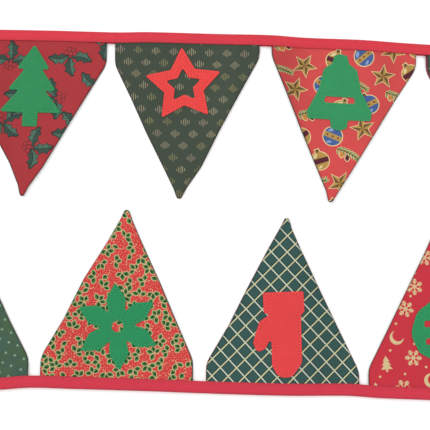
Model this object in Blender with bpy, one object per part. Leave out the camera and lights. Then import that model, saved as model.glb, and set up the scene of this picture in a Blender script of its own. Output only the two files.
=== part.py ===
"""Fabric bunting, laid flat on a surface in two rows.

Eight double-sided cotton pennants are held in one folded tape. The tape runs along the
upper row, turns back on itself at the right and runs along the lower row, so that the
upper pennants point down and the lower ones point up. Each pennant is a front panel and a
back panel, seamed round the edge, with a cut-out motif sewn to its front.

Plan sizes are millimetres: x to the right, y up the page, z above the surface. Every cloth
is a closed sheet of the thickness CLOTH, and neighbouring cloths are GAP apart. The origin
is the middle of the bunting's outline, on the surface.
"""

import math
from bisect import bisect_right
from collections import namedtuple

import bpy
from mathutils import Vector
from mathutils.geometry import delaunay_2d_cdt

MM = 0.001

# Cloth: one layer is the cotton with the allowance that is turned in behind it
CLOTH = 1.0
GAP = 0.3

# The tape is a bias binding folded in half along its outer edge
TAPE_WIDTH = 12.5
TAPE_OPEN = 4.9
TAPE_SHUT = 2 * CLOTH + GAP
SHUT_CLEAR = 1.5
SHUT_RAMP = 3.0
FOLD_OUTSIDE = 1.4
FOLD_INSIDE = 1.9
BEND_OUTSIDE = 0.25
BEND_INSIDE = 1.25
BEND_SHARE = 0.18
STATION_STEP = 22.0

# The turn at the right end, and the low ripples in it and in the two tails
TURN_REACH = 104.0
TURN_POINTS = 5
RIPPLE_HEIGHT = 1.3
RIPPLE_LENGTH = 88.0
TAIL_FLAT = 30.0

# Route of the folded edge, left to right along the upper row, then back along the lower
EdgePoint = namedtuple("EdgePoint", "x y")
UPPER_EDGE = [
    EdgePoint(-430, 201.1),
    EdgePoint(-345, 206.1),
    EdgePoint(-255, 205.8),
    EdgePoint(-181, 204.6),
    EdgePoint(-102, 202.5),
    EdgePoint(-76, 202.9),
    EdgePoint(3, 200.7),
    EdgePoint(62, 199.3),
    EdgePoint(98, 196.4),
    EdgePoint(161, 193.8),
    EdgePoint(200, 190.7),
    EdgePoint(240, 188.1),
    EdgePoint(310, 186.1),
    EdgePoint(396, 180.6),
]
LOWER_EDGE = [
    EdgePoint(324, -195.8),
    EdgePoint(262, -194.3),
    EdgePoint(212, -192.4),
    EdgePoint(165, -190.5),
    EdgePoint(138, -188.5),
    EdgePoint(77, -188.4),
    EdgePoint(3, -186.4),
    EdgePoint(-71, -183.7),
    EdgePoint(-145, -181.5),
    EdgePoint(-190, -180.3),
    EdgePoint(-220, -182.3),
    EdgePoint(-290, -186.2),
    EdgePoint(-370, -182.2),
    EdgePoint(-450, -185.2),
    EdgePoint(-492, -191.2),
]

# Pennants, in their order along the tape. Row 1 hangs down the page and row -1 stands up.
# Sides are plan x, drops are the straight shoulders below the tape, and lift is how far the
# tip stands off the surface.
Pennant = namedtuple("Pennant", "name row left right left_drop right_drop tip_x tip_y lift")
PENNANTS = [
    Pennant("holly", 1, -275.0, -118.0, 19.5, 24.0, -205.8, 18.4, 1.5),
    Pennant("fan", 1, -109.0, 48.8, 24.2, 13.5, -38.6, 16.2, 0.0),
    Pennant("festive", 1, 61.8, 218.9, 11.0, 15.5, 121.1, 11.9, 2.0),
    Pennant("pine", 1, 229.3, 387.0, 17.5, 19.5, 299.0, 12.0, 0.0),
    Pennant("gilt", -1, 157.4, 315.0, 15.8, 18.8, 239.5, -2.5, 1.0),
    Pennant("lattice", -1, -9.3, 148.0, 18.3, 13.8, 77.0, -1.6, 0.0),
    Pennant("sprig", -1, -179.8, -22.6, 19.3, 20.8, -92.9, 6.5, 1.5),
    Pennant("dot", -1, -348.0, -191.9, 18.8, 17.8, -271.0, 3.0, 0.0),
]

# Sides of each pennant: how far each side stands out from a straight line at these shares of
# its length, and a roll, which is how far the back panel shows past the front's edge
SIDE_SHARES = (0.25, 0.5, 0.75, 0.9)
Sides = namedtuple("Sides", "left right left_roll right_roll")
SIDES = {
    "holly": Sides((0.0, 0.5, -3.8, -3.3), (0.0, 0.1, 0.6, -1.3), 1.1, 0.4),
    "fan": Sides((-0.6, 0.0, -1.0, -1.5), (0.0, 0.5, 2.4, -0.3), 0.4, 0.5),
    "festive": Sides((-0.7, -1.0, -2.1, -2.9), (-0.9, -0.3, 0.0, -0.3), 0.7, 0.4),
    "pine": Sides((0.3, 0.4, -0.1, -0.8), (0.1, -0.6, -0.6, -0.9), 2.2, 0.4),
    "gilt": Sides((-0.7, -1.1, -1.7, -1.2), (0.4, 0.6, 0.1, -0.6), 0.5, 0.4),
    "lattice": Sides((-1.8, -0.3, 0.0, -0.5), (-1.5, -2.6, -3.2, -3.1), 0.5, 0.4),
    "sprig": Sides((-1.2, 1.3, -0.9, -1.1), (-0.2, 0.0, -1.1, -1.3), 0.4, 0.8),
    "dot": Sides((0.4, 0.6, -0.1, -0.8), (-1.2, -0.9, -0.6, -0.8), 0.4, 0.4),
}

# Colours of the cloths
Cloths = namedtuple("Cloths", "front back")
CLOTHS = {
    "holly": Cloths((0.48, 0.05, 0.06), (0.05, 0.11, 0.08)),
    "fan": Cloths((0.06, 0.09, 0.07), (0.30, 0.04, 0.05)),
    "festive": Cloths((0.62, 0.08, 0.08), (0.05, 0.08, 0.06)),
    "pine": Cloths((0.07, 0.13, 0.10), (0.50, 0.04, 0.06)),
    "gilt": Cloths((0.58, 0.05, 0.08), (0.10, 0.20, 0.12)),
    "lattice": Cloths((0.04, 0.10, 0.10), (0.45, 0.05, 0.06)),
    "sprig": Cloths((0.65, 0.07, 0.05), (0.04, 0.10, 0.08)),
    "dot": Cloths((0.08, 0.15, 0.10), (0.50, 0.05, 0.06)),
}
TAPE_CRIMSON = (0.70, 0.05, 0.08)
PANEL_START = 2.8
SHOULDER_RADIUS = 24.0
TIP_RADIUS = 3.2
TIP_LIFT_LENGTH = 60.0

# A panel leaves the binding one layer up, stays so just past it, then comes down
PANEL_HOLD = 15.0
PANEL_RAMP = 20.0

# Soft swellings: a line in plan, how high the cloth stands along it and how wide it is
Swelling = namedtuple("Swelling", "pennant x0 y0 x1 y1 height width")
SWELLINGS = [
    Swelling("holly", -150, 128, -196, 62, 1.3, 46),
    Swelling("holly", -262, 140, -240, 96, 1.0, 46),
    Swelling("fan", 16, 142, -14, 84, 1.1, 48),
    Swelling("festive", 88, 146, 104, 84, 1.6, 48),
    Swelling("festive", 178, 112, 148, 62, 1.2, 46),
    Swelling("pine", 344, 140, 318, 72, 1.3, 48),
    Swelling("gilt", 190, -132, 222, -62, 1.1, 48),
    Swelling("gilt", 286, -128, 262, -70, 1.4, 46),
    Swelling("lattice", 118, -124, 94, -56, 1.2, 48),
    Swelling("sprig", -150, -128, -112, -52, 1.3, 48),
    Swelling("sprig", -44, -130, -66, -92, 1.0, 46),
    Swelling("dot", -222, -132, -252, -62, 1.4, 48),
]

# Motifs: the middle of each in plan, its size and its turn off upright
Applique = namedtuple("Applique", "pennant shape x y width height tilt colour")
GREEN = (0.03, 0.30, 0.12)
RED = (0.82, 0.08, 0.08)
STAR_ROUNDING = 1.5
APPLIQUES = [
    Applique("holly", "tree", -198.0, 142.0, 68, 92, -2, GREEN),
    Applique("fan", "open_star", -34.0, 142.0, 80, 80, 3, RED),
    Applique("festive", "bell", 135.0, 134.0, 70, 86, -3, GREEN),
    Applique("pine", "heart", 308.0, 134.0, 68, 64, 2, RED),
    Applique("gilt", "bauble", 238.0, -132.0, 66, 82, 4, GREEN),
    Applique("lattice", "mitten", 70.0, -126.0, 62, 88, 2, RED),
    Applique("sprig", "flower", -101.0, -117.5, 86, 86, 4, GREEN),
    Applique("dot", "star", -270.0, -130.0, 72, 72, 5, RED),
]

# Mesh spacing: cloth surfaces, and the outlines of the motifs
LATTICE = 20.0
LATTICE_MARGIN = 5.0
MOTIF_STEP = 12.0
ARC_STEP = math.radians(24)
CORNER_CLEAR = 0.45
CDT_INSIDE = 1
CDT_MERGE = 1e-4


def smooth(t):
    """0 below 0, 1 above 1, and an S-curve between."""
    t = min(1.0, max(0.0, t))
    return t * t * (3 - 2 * t)


def curve_through(points, step):
    """Samples of a centripetal Catmull-Rom curve through the points, about step apart."""
    ends = [2 * points[0] - points[1], 2 * points[-1] - points[-2]]
    line = [ends[0], *points, ends[1]]
    samples = []
    for p0, p1, p2, p3 in zip(line, line[1:], line[2:], line[3:]):
        t1 = (p1 - p0).length ** 0.5
        t2 = t1 + (p2 - p1).length ** 0.5
        t3 = t2 + (p3 - p2).length ** 0.5
        count = max(1, round((p2 - p1).length / step))
        for i in range(count):
            t = t1 + (t2 - t1) * i / count
            a1 = p0.lerp(p1, t / t1)
            a2 = p1.lerp(p2, (t - t1) / (t2 - t1))
            a3 = p2.lerp(p3, (t - t2) / (t3 - t2))
            b1 = a1.lerp(a2, t / t2)
            b2 = a2.lerp(a3, (t - t1) / (t3 - t1))
            samples.append(b1.lerp(b2, (t - t1) / (t2 - t1)))
    samples.append(points[-1].copy())
    return samples


def turn_points():
    """The folded edge's route round the turn, between the ends of the two rows."""
    start = Vector(UPPER_EDGE[-1])
    end = Vector(LOWER_EDGE[0])
    route = []
    for i in range(1, TURN_POINTS + 1):
        angle = math.pi * i / (TURN_POINTS + 1)
        point = start.lerp(end, (1 - math.cos(angle)) / 2)
        route.append(point + Vector((TURN_REACH * math.sin(angle), 0)))
    return route


class FoldedEdge:
    """The tape's folded edge as one curve, found by length along it or by plan x."""

    def __init__(self):
        route = [Vector(p) for p in UPPER_EDGE]
        route += turn_points()
        route += [Vector(p) for p in LOWER_EDGE]
        self.points = curve_through(route, 4.0)
        self.lengths = [0.0]
        for a, b in zip(self.points, self.points[1:]):
            self.lengths.append(self.lengths[-1] + (b - a).length)
        self.total = self.lengths[-1]
        last_upper = min(
            range(len(self.points)),
            key=lambda i: (self.points[i] - Vector(UPPER_EDGE[-1])).length,
        )
        first_lower = min(
            range(len(self.points)),
            key=lambda i: (self.points[i] - Vector(LOWER_EDGE[0])).length,
        )
        indexes = range(len(self.points))
        self.rows = {1: indexes[: last_upper + 1], -1: indexes[first_lower:][::-1]}
        self.row_xs = {row: [self.points[i].x for i in at] for row, at in self.rows.items()}
        self.turn = (self.lengths[last_upper], self.lengths[first_lower])

    def at(self, length):
        """The point at this length along the edge, and the unit way in towards the cloth."""
        i = min(max(bisect_right(self.lengths, length) - 1, 0), len(self.points) - 2)
        t = (length - self.lengths[i]) / (self.lengths[i + 1] - self.lengths[i])
        before = self.points[max(i - 1, 0)]
        after = self.points[min(i + 2, len(self.points) - 1)]
        here = self.points[i + 1] - self.points[i]
        along = (here.normalized() + (after - before).normalized()).normalized()
        return self.points[i].lerp(self.points[i + 1], t), Vector((along.y, -along.x))

    def on_row(self, row, x):
        """The sample below plan x on this row, the next one, and the share between."""
        xs = self.row_xs[row]
        k = min(max(bisect_right(xs, x) - 1, 0), len(xs) - 2)
        share = (x - xs[k]) / (xs[k + 1] - xs[k])
        return self.rows[row][k], self.rows[row][k + 1], share

    def y(self, row, x):
        """Plan y of the folded edge at plan x on this row."""
        a, b, share = self.on_row(row, x)
        return self.points[a].y + (self.points[b].y - self.points[a].y) * share

    def length_at(self, row, x):
        """Length along the edge at plan x on this row."""
        a, b, share = self.on_row(row, x)
        return self.lengths[a] + (self.lengths[b] - self.lengths[a]) * share


EDGE = FoldedEdge()
CENTRE = Vector((
    (min(p.x for p in EDGE.points) + max(p.x for p in EDGE.points)) / 2,
    (min(p.y for p in EDGE.points) + max(p.y for p in EDGE.points)) / 2,
))


def depth(pennant, x, y):
    """Distance of a plan point in from the tape's folded edge."""
    return (EDGE.y(pennant.row, x) - y) * pennant.row


def distance_to_line(x, y, line):
    """Distance of a plan point from the line that a swelling runs along."""
    start = Vector((line.x0, line.y0))
    way = Vector((line.x1, line.y1)) - start
    offset = Vector((x, y)) - start
    share = min(1.0, max(0.0, offset.dot(way) / way.length_squared))
    return (offset - way * share).length


def rise(pennant, x, y):
    """Height of the underside of a pennant's back panel above the surface."""
    deep = depth(pennant, x, y)
    loose = smooth((deep - PANEL_HOLD) / PANEL_RAMP)
    height = (CLOTH + GAP) * (1 - loose)
    for swelling in SWELLINGS:
        if swelling.pennant == pennant.name:
            away = distance_to_line(x, y, swelling) / swelling.width
            height += swelling.height * loose * 0.5 * (1 + math.cos(math.pi * min(away, 1)))
    from_tip = depth(pennant, pennant.tip_x, pennant.tip_y) - deep
    height += pennant.lift * max(0.0, 1 - from_tip / TIP_LIFT_LENGTH) ** 2
    return height


def corner_arc(before, corner, after, radius):
    """Points of the arc that rounds one corner of an outline."""
    back = (before - corner).normalized()
    on = (after - corner).normalized()
    half = math.acos(max(-1.0, min(1.0, back.dot(on)))) / 2
    reach = min(
        radius / math.tan(half),
        CORNER_CLEAR * (before - corner).length,
        CORNER_CLEAR * (after - corner).length,
    )
    radius = reach * math.tan(half)
    centre = corner + (back + on).normalized() * (radius / math.sin(half))
    start = corner + back * reach - centre
    sweep = math.pi - 2 * half
    turn = math.copysign(sweep, (corner - before).cross(after - corner))
    count = max(1, math.ceil(sweep / ARC_STEP))
    arc = []
    for i in range(count + 1):
        angle = turn * i / count
        cos, sin = math.cos(angle), math.sin(angle)
        arc.append(centre + Vector((start.x * cos - start.y * sin,
                                    start.x * sin + start.y * cos)))
    return arc


def rounded(corners):
    """Outline of (point, radius) corners, with an arc where the radius isn't zero."""
    outline = []
    for i, (point, radius) in enumerate(corners):
        before = corners[i - 1][0]
        after = corners[(i + 1) % len(corners)][0]
        if radius:
            outline += corner_arc(before, point, after, radius)
        else:
            outline.append(point)
    return outline


def divided(outline, step):
    """The closed outline with its long edges cut into lengths of at most step."""
    result = []
    for a, b in zip(outline, outline[1:] + outline[:1]):
        count = max(1, math.ceil((b - a).length / step))
        result += [a.lerp(b, i / count) for i in range(count)]
    return result


def side_points(shoulder, tip, stands):
    """Points along a pennant's side, each standing out from the straight line by so much."""
    way = tip - shoulder
    out = Vector((way.y, -way.x)).normalized()
    if out.x * (shoulder.x - tip.x) < 0:
        out.negate()
    return [shoulder + way * t + out * stand for t, stand in zip(SIDE_SHARES, stands)]


def pennant_outline(pennant, left_inset, right_inset):
    """Plan outline of a panel, its top edge hidden in the tape."""
    down = -pennant.row
    sides = SIDES[pennant.name]
    left = pennant.left + left_inset
    right = pennant.right - right_inset
    inset = (left_inset + right_inset) / 2
    half_angle = math.atan2(
        (right - left) / 2,
        depth(pennant, pennant.tip_x, pennant.tip_y) - TAPE_WIDTH - pennant.left_drop,
    )
    blunt = TIP_RADIUS / math.sin(half_angle) - TIP_RADIUS
    tip = Vector((
        pennant.tip_x + (left_inset - right_inset) / 2,
        pennant.tip_y + down * (blunt - inset),
    ))
    shoulders = [
        Vector((x, EDGE.y(pennant.row, x) + down * (TAPE_WIDTH + drop)))
        for x, drop in ((left, pennant.left_drop), (right, pennant.right_drop))
    ]
    top_count = math.ceil((right - left) / LATTICE)
    tops = [left + (right - left) * i / top_count for i in range(top_count + 1)]
    corners = [(Vector((x, EDGE.y(pennant.row, x) + down * PANEL_START)), 0) for x in tops]
    corners.append((shoulders[1], SHOULDER_RADIUS))
    corners += [(p, 0) for p in side_points(shoulders[1], tip, sides.right)]
    corners.append((tip, TIP_RADIUS))
    corners += [(p, 0) for p in side_points(shoulders[0], tip, sides.left)][::-1]
    corners.append((shoulders[0], SHOULDER_RADIUS))
    return divided(rounded(corners), LATTICE)


def inside(outline, point):
    """Whether a plan point lies inside a closed outline."""
    odd = False
    for a, b in zip(outline, outline[1:] + outline[:1]):
        if (a.y > point.y) != (b.y > point.y):
            if point.x < a.x + (b.x - a.x) * (point.y - a.y) / (b.y - a.y):
                odd = not odd
    return odd


def clearance(outline, point):
    """Distance of a plan point from an outline."""
    nearest = math.inf
    for a, b in zip(outline, outline[1:] + outline[:1]):
        way = b - a
        share = min(1.0, max(0.0, (point - a).dot(way) / way.length_squared))
        nearest = min(nearest, (point - a - way * share).length)
    return nearest


def lattice_points(pennant):
    """Points over a pennant, the same for each of its layers, so that their facets agree."""
    deepest = depth(pennant, pennant.tip_x, pennant.tip_y)
    depths = [PANEL_HOLD, PANEL_HOLD + PANEL_RAMP / 3, PANEL_HOLD + PANEL_RAMP * 2 / 3]
    row_step = LATTICE * math.sin(math.radians(60))
    depths += [
        PANEL_HOLD + PANEL_RAMP + i * row_step
        for i in range(math.ceil((deepest - PANEL_HOLD - PANEL_RAMP) / row_step))
    ]
    columns = math.ceil((pennant.right - pennant.left) / LATTICE)
    points = []
    for i, deep in enumerate(depths):
        for k in range(columns + 1):
            x = pennant.left + (k + 0.5 * (i % 2)) * LATTICE
            points.append(Vector((x, EDGE.y(pennant.row, x) - pennant.row * deep)))
    return points


def add_mesh(name, points, faces, colour):
    """One named object from plan points in millimetres, with a material of its own."""
    mesh = bpy.data.meshes.new(name)
    mesh.from_pydata(
        [((x - CENTRE.x) * MM, (y - CENTRE.y) * MM, z * MM) for x, y, z in points],
        [],
        faces,
    )
    thing = bpy.data.objects.new(name, mesh)
    bpy.context.scene.collection.objects.link(thing)
    material = bpy.data.materials.new(name)
    material.use_nodes = True
    shader = material.node_tree.nodes["Principled BSDF"]
    shader.inputs["Base Color"].default_value = (*colour, 1)
    shader.inputs["Roughness"].default_value = 0.9
    shader.inputs["Metallic"].default_value = 0.0
    mesh.materials.append(material)
    return thing


def add_sheet(name, loops, pennant, level, colour):
    """A closed sheet inside the first loop, less any holes, its underside level above the
    pennant's own rise."""
    holes = loops[1:]
    spread = [
        p for p in lattice_points(pennant)
        if inside(loops[0], p)
        and not any(inside(hole, p) for hole in holes)
        and all(clearance(loop, p) > LATTICE_MARGIN for loop in loops)
    ]
    plan = []
    edges = []
    for loop in loops:
        first = len(plan)
        count = len(loop)
        plan += loop
        edges += [(first + i, first + (i + 1) % count) for i in range(count)]
    plan += spread
    plan, _, triangles, *_ = delaunay_2d_cdt(plan, edges, [], CDT_INSIDE, CDT_MERGE)
    middles = [sum((plan[i] for i in t), Vector((0, 0))) / len(t) for t in triangles]
    triangles = [
        t for t, middle in zip(triangles, middles)
        if not any(inside(hole, middle) for hole in holes)
    ]
    count = len(plan)
    under = [(p.x, p.y, rise(pennant, p.x, p.y) + level) for p in plan]
    over = [(x, y, z + CLOTH) for x, y, z in under]
    faces = [tuple(reversed(t)) for t in triangles]
    faces += [tuple(i + count for i in t) for t in triangles]
    sides = {(a, b) for t in triangles for a, b in zip(t, (*t[1:], t[0]))}
    for a, b in sorted(sides):
        if (b, a) not in sides:
            faces.append((a, b, b + count, a + count))
    return add_mesh(name, under + over, faces, colour)


def mirrored(half):
    """Closed corners from a right-hand half, given from its top down to its bottom."""
    left = [((-x, y), radius) for (x, y), radius in reversed(half) if x > 0]
    return half + left


def tree_corners():
    """A fir tree of three tiers on a short trunk."""
    return mirrored([
        ((0.00, 0.50), 2), ((0.27, 0.20), 2), ((0.14, 0.20), 1), ((0.39, -0.06), 2),
        ((0.21, -0.06), 1), ((0.50, -0.33), 2), ((0.12, -0.33), 1), ((0.12, -0.50), 1),
    ])


def star_corners(points, outer, inner):
    """A star of so many points, between an outer and an inner radius."""
    corners = []
    for i in range(2 * points):
        angle = math.pi * i / points
        radius = inner if i % 2 else outer
        corners.append(((radius * math.sin(angle), radius * math.cos(angle)), STAR_ROUNDING))
    return corners


def bell_corners():
    """A hand bell with a flared lip and its clapper below."""
    return mirrored([
        ((0.00, 0.50), 0), ((0.10, 0.48), 3), ((0.13, 0.38), 3), ((0.26, 0.30), 8),
        ((0.33, 0.02), 12), ((0.50, -0.26), 3), ((0.48, -0.36), 2), ((0.14, -0.36), 1),
        ((0.12, -0.47), 5), ((0.00, -0.50), 0),
    ])


def bell_band_corners():
    """The slot cut across the bell."""
    return [((-0.24, -0.14), 2), ((-0.22, -0.06), 2), ((0.22, -0.06), 2), ((0.24, -0.14), 2)]


def heart_corners():
    """A heart, from the usual sine curve."""
    corners = []
    for i in range(30):
        t = 2 * math.pi * i / 30
        across = math.sin(t) ** 3
        up = 13 * math.cos(t) - 5 * math.cos(2 * t) - 2 * math.cos(3 * t) - math.cos(4 * t)
        corners.append(((across / 2, (up + 2.5) / 29), 0))
    return corners


def bauble_corners():
    """A round tree bauble under a square cap."""
    return mirrored([
        ((0.00, 0.50), 0), ((0.08, 0.49), 2), ((0.11, 0.41), 1), ((0.17, 0.40), 1),
        ((0.17, 0.26), 1), ((0.42, 0.14), 12), ((0.54, -0.10), 18), ((0.40, -0.38), 18),
        ((0.14, -0.51), 16), ((0.00, -0.51), 0),
    ])


def bauble_band_corners(low):
    """A slot across the bauble, from the height low up."""
    return [((-0.30, low), 2), ((-0.31, low + 0.08), 2), ((0.31, low + 0.08), 2),
            ((0.30, low), 2)]


def mitten_corners():
    """A mitten, with its cuff at the bottom and its thumb to the right."""
    return [
        ((-0.30, 0.34), 10), ((-0.12, 0.50), 10), ((0.10, 0.50), 10), ((0.20, 0.36), 8),
        ((0.19, 0.02), 3), ((0.30, 0.16), 5), ((0.44, 0.20), 5), ((0.50, 0.08), 5),
        ((0.38, -0.16), 6), ((0.20, -0.24), 2), ((0.30, -0.26), 2), ((0.30, -0.50), 2),
        ((-0.38, -0.50), 2), ((-0.38, -0.26), 2), ((-0.32, -0.22), 2),
    ]


def flower_corners():
    """A flower of six pointed petals."""
    petal = [((0.17, -0.10), 1), ((0.33, -0.12), 8), ((0.53, 0.00), 1.5), ((0.33, 0.12), 8)]
    corners = []
    for i in range(6):
        angle = math.radians(90 + 60 * i)
        cos, sin = math.cos(angle), math.sin(angle)
        corners += [((a * cos - b * sin, a * sin + b * cos), r) for (a, b), r in petal]
    return corners


def round_hole_corners(radius):
    """A round hole in the middle of a motif."""
    angles = [2 * math.pi * i / 12 for i in range(12)]
    return [((radius * math.cos(t), radius * math.sin(t)), 0) for t in angles]


def motif_corners(shape):
    """Outline of a motif and then any holes in it, in shares of its width and height."""
    if shape == "tree":
        return [tree_corners()]
    if shape == "star":
        return [star_corners(5, 0.52, 0.24)]
    if shape == "open_star":
        return [star_corners(5, 0.54, 0.28), star_corners(5, 0.25, 0.13)]
    if shape == "bell":
        return [bell_corners(), bell_band_corners()]
    if shape == "heart":
        return [heart_corners()]
    if shape == "bauble":
        return [bauble_corners(), bauble_band_corners(-0.04), bauble_band_corners(-0.26)]
    if shape == "mitten":
        return [mitten_corners()]
    return [flower_corners(), round_hole_corners(0.07)]


def motif_loops(applique, pennant):
    """Plan loops of a motif; those of the lower row stand on their heads."""
    turn = math.radians(applique.tilt + (0 if pennant.row > 0 else 180))
    cos, sin = math.cos(turn), math.sin(turn)
    loops = []
    for corners in motif_corners(applique.shape):
        placed = []
        for (across, up), radius in corners:
            x, y = across * applique.width, up * applique.height
            at = Vector((applique.x + x * cos - y * sin, applique.y + x * sin + y * cos))
            placed.append((at, radius))
        loops.append(divided(rounded(placed), MOTIF_STEP))
    area = sum(a.cross(b) for a, b in zip(loops[0], loops[0][1:] + loops[0][:1]))
    if area < 0:
        loops[0].reverse()
    return loops


def tape_spans():
    """Where each pennant starts and ends, as lengths along the folded edge."""
    spans = []
    for pennant in PENNANTS:
        ends = [EDGE.length_at(pennant.row, x) for x in (pennant.left, pennant.right)]
        spans.append((min(ends), max(ends)))
    return spans


def tape_height(length, spans):
    """Outer height of the folded tape, which stands open where it holds a pennant."""
    away = min(max(start - length, length - end, 0.0) for start, end in spans)
    shut = min(1.0, max(0.0, (away - SHUT_CLEAR) / SHUT_RAMP))
    return TAPE_OPEN + (TAPE_SHUT - TAPE_OPEN) * shut


def tape_ripple(length, spans):
    """How far the tape's inner edge stands off the surface in the turn and the tails."""
    away = min(max(start - length, length - end, 0.0) for start, end in spans)
    from_end = min(length, EDGE.total - length)
    free = smooth((away - 2 * SHUT_RAMP) / RIPPLE_LENGTH)
    free *= smooth((from_end - TAIL_FLAT) / TAIL_FLAT)
    return RIPPLE_HEIGHT * free * (1 - math.cos(2 * math.pi * away / RIPPLE_LENGTH)) / 2


def tape_stations(spans):
    """Lengths along the edge at which the tape has a cross-section."""
    stops = {0.0, EDGE.total}
    for start, end in spans:
        for edge, out in ((start, -1), (end, 1)):
            stops.add(edge + out * SHUT_CLEAR)
            stops.add(edge + out * (SHUT_CLEAR + SHUT_RAMP))
    stops = sorted(stops)
    stations = []
    for a, b in zip(stops, stops[1:]):
        if b - a > CLOTH:
            count = max(1, round((b - a) / STATION_STEP))
            stations += [a + (b - a) * i / count for i in range(count)]
    return [*stations, EDGE.total]


def tape_section(height):
    """The folded tape across its width: (depth, height) pairs, outer skin then inner."""
    skins = []
    for low, high, fold, bend in (
        (0.0, height, FOLD_OUTSIDE, BEND_OUTSIDE),
        (CLOTH, height - CLOTH, FOLD_INSIDE, BEND_INSIDE),
    ):
        turn = BEND_SHARE * (high - low)
        skins.append([(TAPE_WIDTH, low), (fold, low), (bend, low + turn),
                      (bend, high - turn), (fold, high), (TAPE_WIDTH, high)])
    return skins


def add_tape():
    """The folded tape, from the upper tail round the turn to the lower tail."""
    spans = tape_spans()
    points = []
    for length in tape_stations(spans):
        point, inward = EDGE.at(length)
        outer, inner = tape_section(tape_height(length, spans))
        lift = tape_ripple(length, spans)
        for deep, z in outer + inner[::-1]:
            at = point + inward * deep
            points.append((at.x, at.y, z + lift * deep / TAPE_WIDTH))
    around = len(outer) + len(inner)
    rings = len(points) // around
    faces = []
    for ring in range(rings - 1):
        for i in range(around):
            a = ring * around + i
            b = ring * around + (i + 1) % around
            faces.append((a, b, b + around, a + around))
    for i in range(len(outer) - 1):
        a, b, c, d = i, i + 1, around - 2 - i, around - 1 - i
        last = (rings - 1) * around
        faces.append((d, c, b, a))
        faces.append((last + a, last + b, last + c, last + d))
    return add_mesh("tape", points, faces, TAPE_CRIMSON)


def clear_scene():
    """Empties the scene that the script is run in."""
    for thing in list(bpy.data.objects):
        bpy.data.objects.remove(thing, do_unlink=True)


def build():
    """Makes every piece of the bunting."""
    clear_scene()
    add_tape()
    by_name = {pennant.name: pennant for pennant in PENNANTS}
    for p in PENNANTS:
        cloths = CLOTHS[p.name]
        sides = SIDES[p.name]
        back = pennant_outline(p, 0, 0)
        front = pennant_outline(p, sides.left_roll, sides.right_roll)
        add_sheet(f"{p.name}_back", [back], p, 0, cloths.back)
        add_sheet(f"{p.name}_front", [front], p, CLOTH + GAP, cloths.front)
    for a in APPLIQUES:
        p = by_name[a.pennant]
        add_sheet(f"{p.name}_motif", motif_loops(a, p), p, 2 * (CLOTH + GAP), a.colour)


build()
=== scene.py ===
# Looks of the fabric bunting: printed pennants, cut-out motifs, binding and sewing, laid
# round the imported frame. Plan sizes are millimetres in the photograph's own plane: x to the
# right, y up the page, z above the surface. to_frame() turns them into the frame's metres.
import math
import random
from collections import namedtuple

import bpy
import numpy as np
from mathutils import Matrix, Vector
from mathutils.geometry import delaunay_2d_cdt


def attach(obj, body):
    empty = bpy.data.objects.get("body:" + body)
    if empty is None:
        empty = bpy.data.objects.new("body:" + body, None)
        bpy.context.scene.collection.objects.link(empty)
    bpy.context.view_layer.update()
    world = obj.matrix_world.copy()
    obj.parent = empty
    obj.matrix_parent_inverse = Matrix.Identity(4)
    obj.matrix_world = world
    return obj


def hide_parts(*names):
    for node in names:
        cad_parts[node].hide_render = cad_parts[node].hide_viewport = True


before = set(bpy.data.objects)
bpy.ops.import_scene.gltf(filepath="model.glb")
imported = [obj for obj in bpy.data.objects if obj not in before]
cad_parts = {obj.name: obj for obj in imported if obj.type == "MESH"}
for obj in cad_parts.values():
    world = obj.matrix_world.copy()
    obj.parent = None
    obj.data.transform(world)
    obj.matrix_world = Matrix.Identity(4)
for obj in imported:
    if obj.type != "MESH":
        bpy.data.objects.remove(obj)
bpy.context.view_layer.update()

MM = 0.001

# Cloth layers, as in the frame: the levels are heights above a pennant's own rise
CLOTH = 1.0
GAP = 0.3
FRONT_LEVEL = CLOTH + GAP
MOTIF_LEVEL = 2 * (CLOTH + GAP)
MOTIF_THICKNESS = 0.8

# The tape is a bias binding folded in half along its outer edge
TAPE_WIDTH = 12.5
TAPE_OPEN = 4.9
TAPE_SHUT = 2 * CLOTH + GAP
TAPE_SETTLE = 34.0
RIPPLE_START = 6.0

# The turn at the right end, and the low ripples in it and in the two tails
TURN_REACH = 104.0
TURN_POINTS = 5
RIPPLE_HEIGHT = 1.3
RIPPLE_LENGTH = 88.0
TAIL_FLAT = 30.0

# Route of the folded edge, left to right along the upper row, then back along the lower
UPPER_EDGE = (
    (-430, 201.1), (-345, 206.1), (-255, 205.8), (-181, 204.6), (-102, 202.5),
    (-76, 202.9), (3, 200.7), (62, 199.3), (98, 196.4), (161, 193.8),
    (200, 190.7), (240, 188.1), (310, 186.1), (396, 180.6),
)
LOWER_EDGE = (
    (324, -195.8), (262, -194.3), (212, -192.4), (165, -190.5), (138, -188.5),
    (77, -188.4), (3, -186.4), (-71, -183.7), (-145, -181.5), (-190, -180.3),
    (-220, -182.3), (-290, -186.2), (-370, -182.2), (-450, -185.2), (-492, -191.2),
)

# Pennants, in their order along the tape. Row 1 hangs down the page and row -1 stands up.
# Sides are plan x, drops are the straight shoulders below the tape, and lift is how far the
# tip stands off the surface.
Pennant = namedtuple("Pennant", "name row left right left_drop right_drop tip_x tip_y lift")
PENNANTS = [
    Pennant("holly", 1, -275.0, -118.0, 19.5, 24.0, -205.8, 18.4, 1.5),
    Pennant("fan", 1, -109.0, 48.8, 24.2, 13.5, -38.6, 16.2, 0.0),
    Pennant("festive", 1, 61.8, 218.9, 11.0, 15.5, 121.1, 11.9, 2.0),
    Pennant("pine", 1, 229.3, 387.0, 17.5, 19.5, 299.0, 12.0, 0.0),
    Pennant("gilt", -1, 157.4, 315.0, 15.8, 18.8, 239.5, -2.5, 1.0),
    Pennant("lattice", -1, -9.3, 148.0, 18.3, 13.8, 77.0, -1.6, 0.0),
    Pennant("sprig", -1, -179.8, -22.6, 19.3, 20.8, -92.9, 6.5, 1.5),
    Pennant("dot", -1, -348.0, -191.9, 18.8, 17.8, -271.0, 3.0, 0.0),
]

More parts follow.
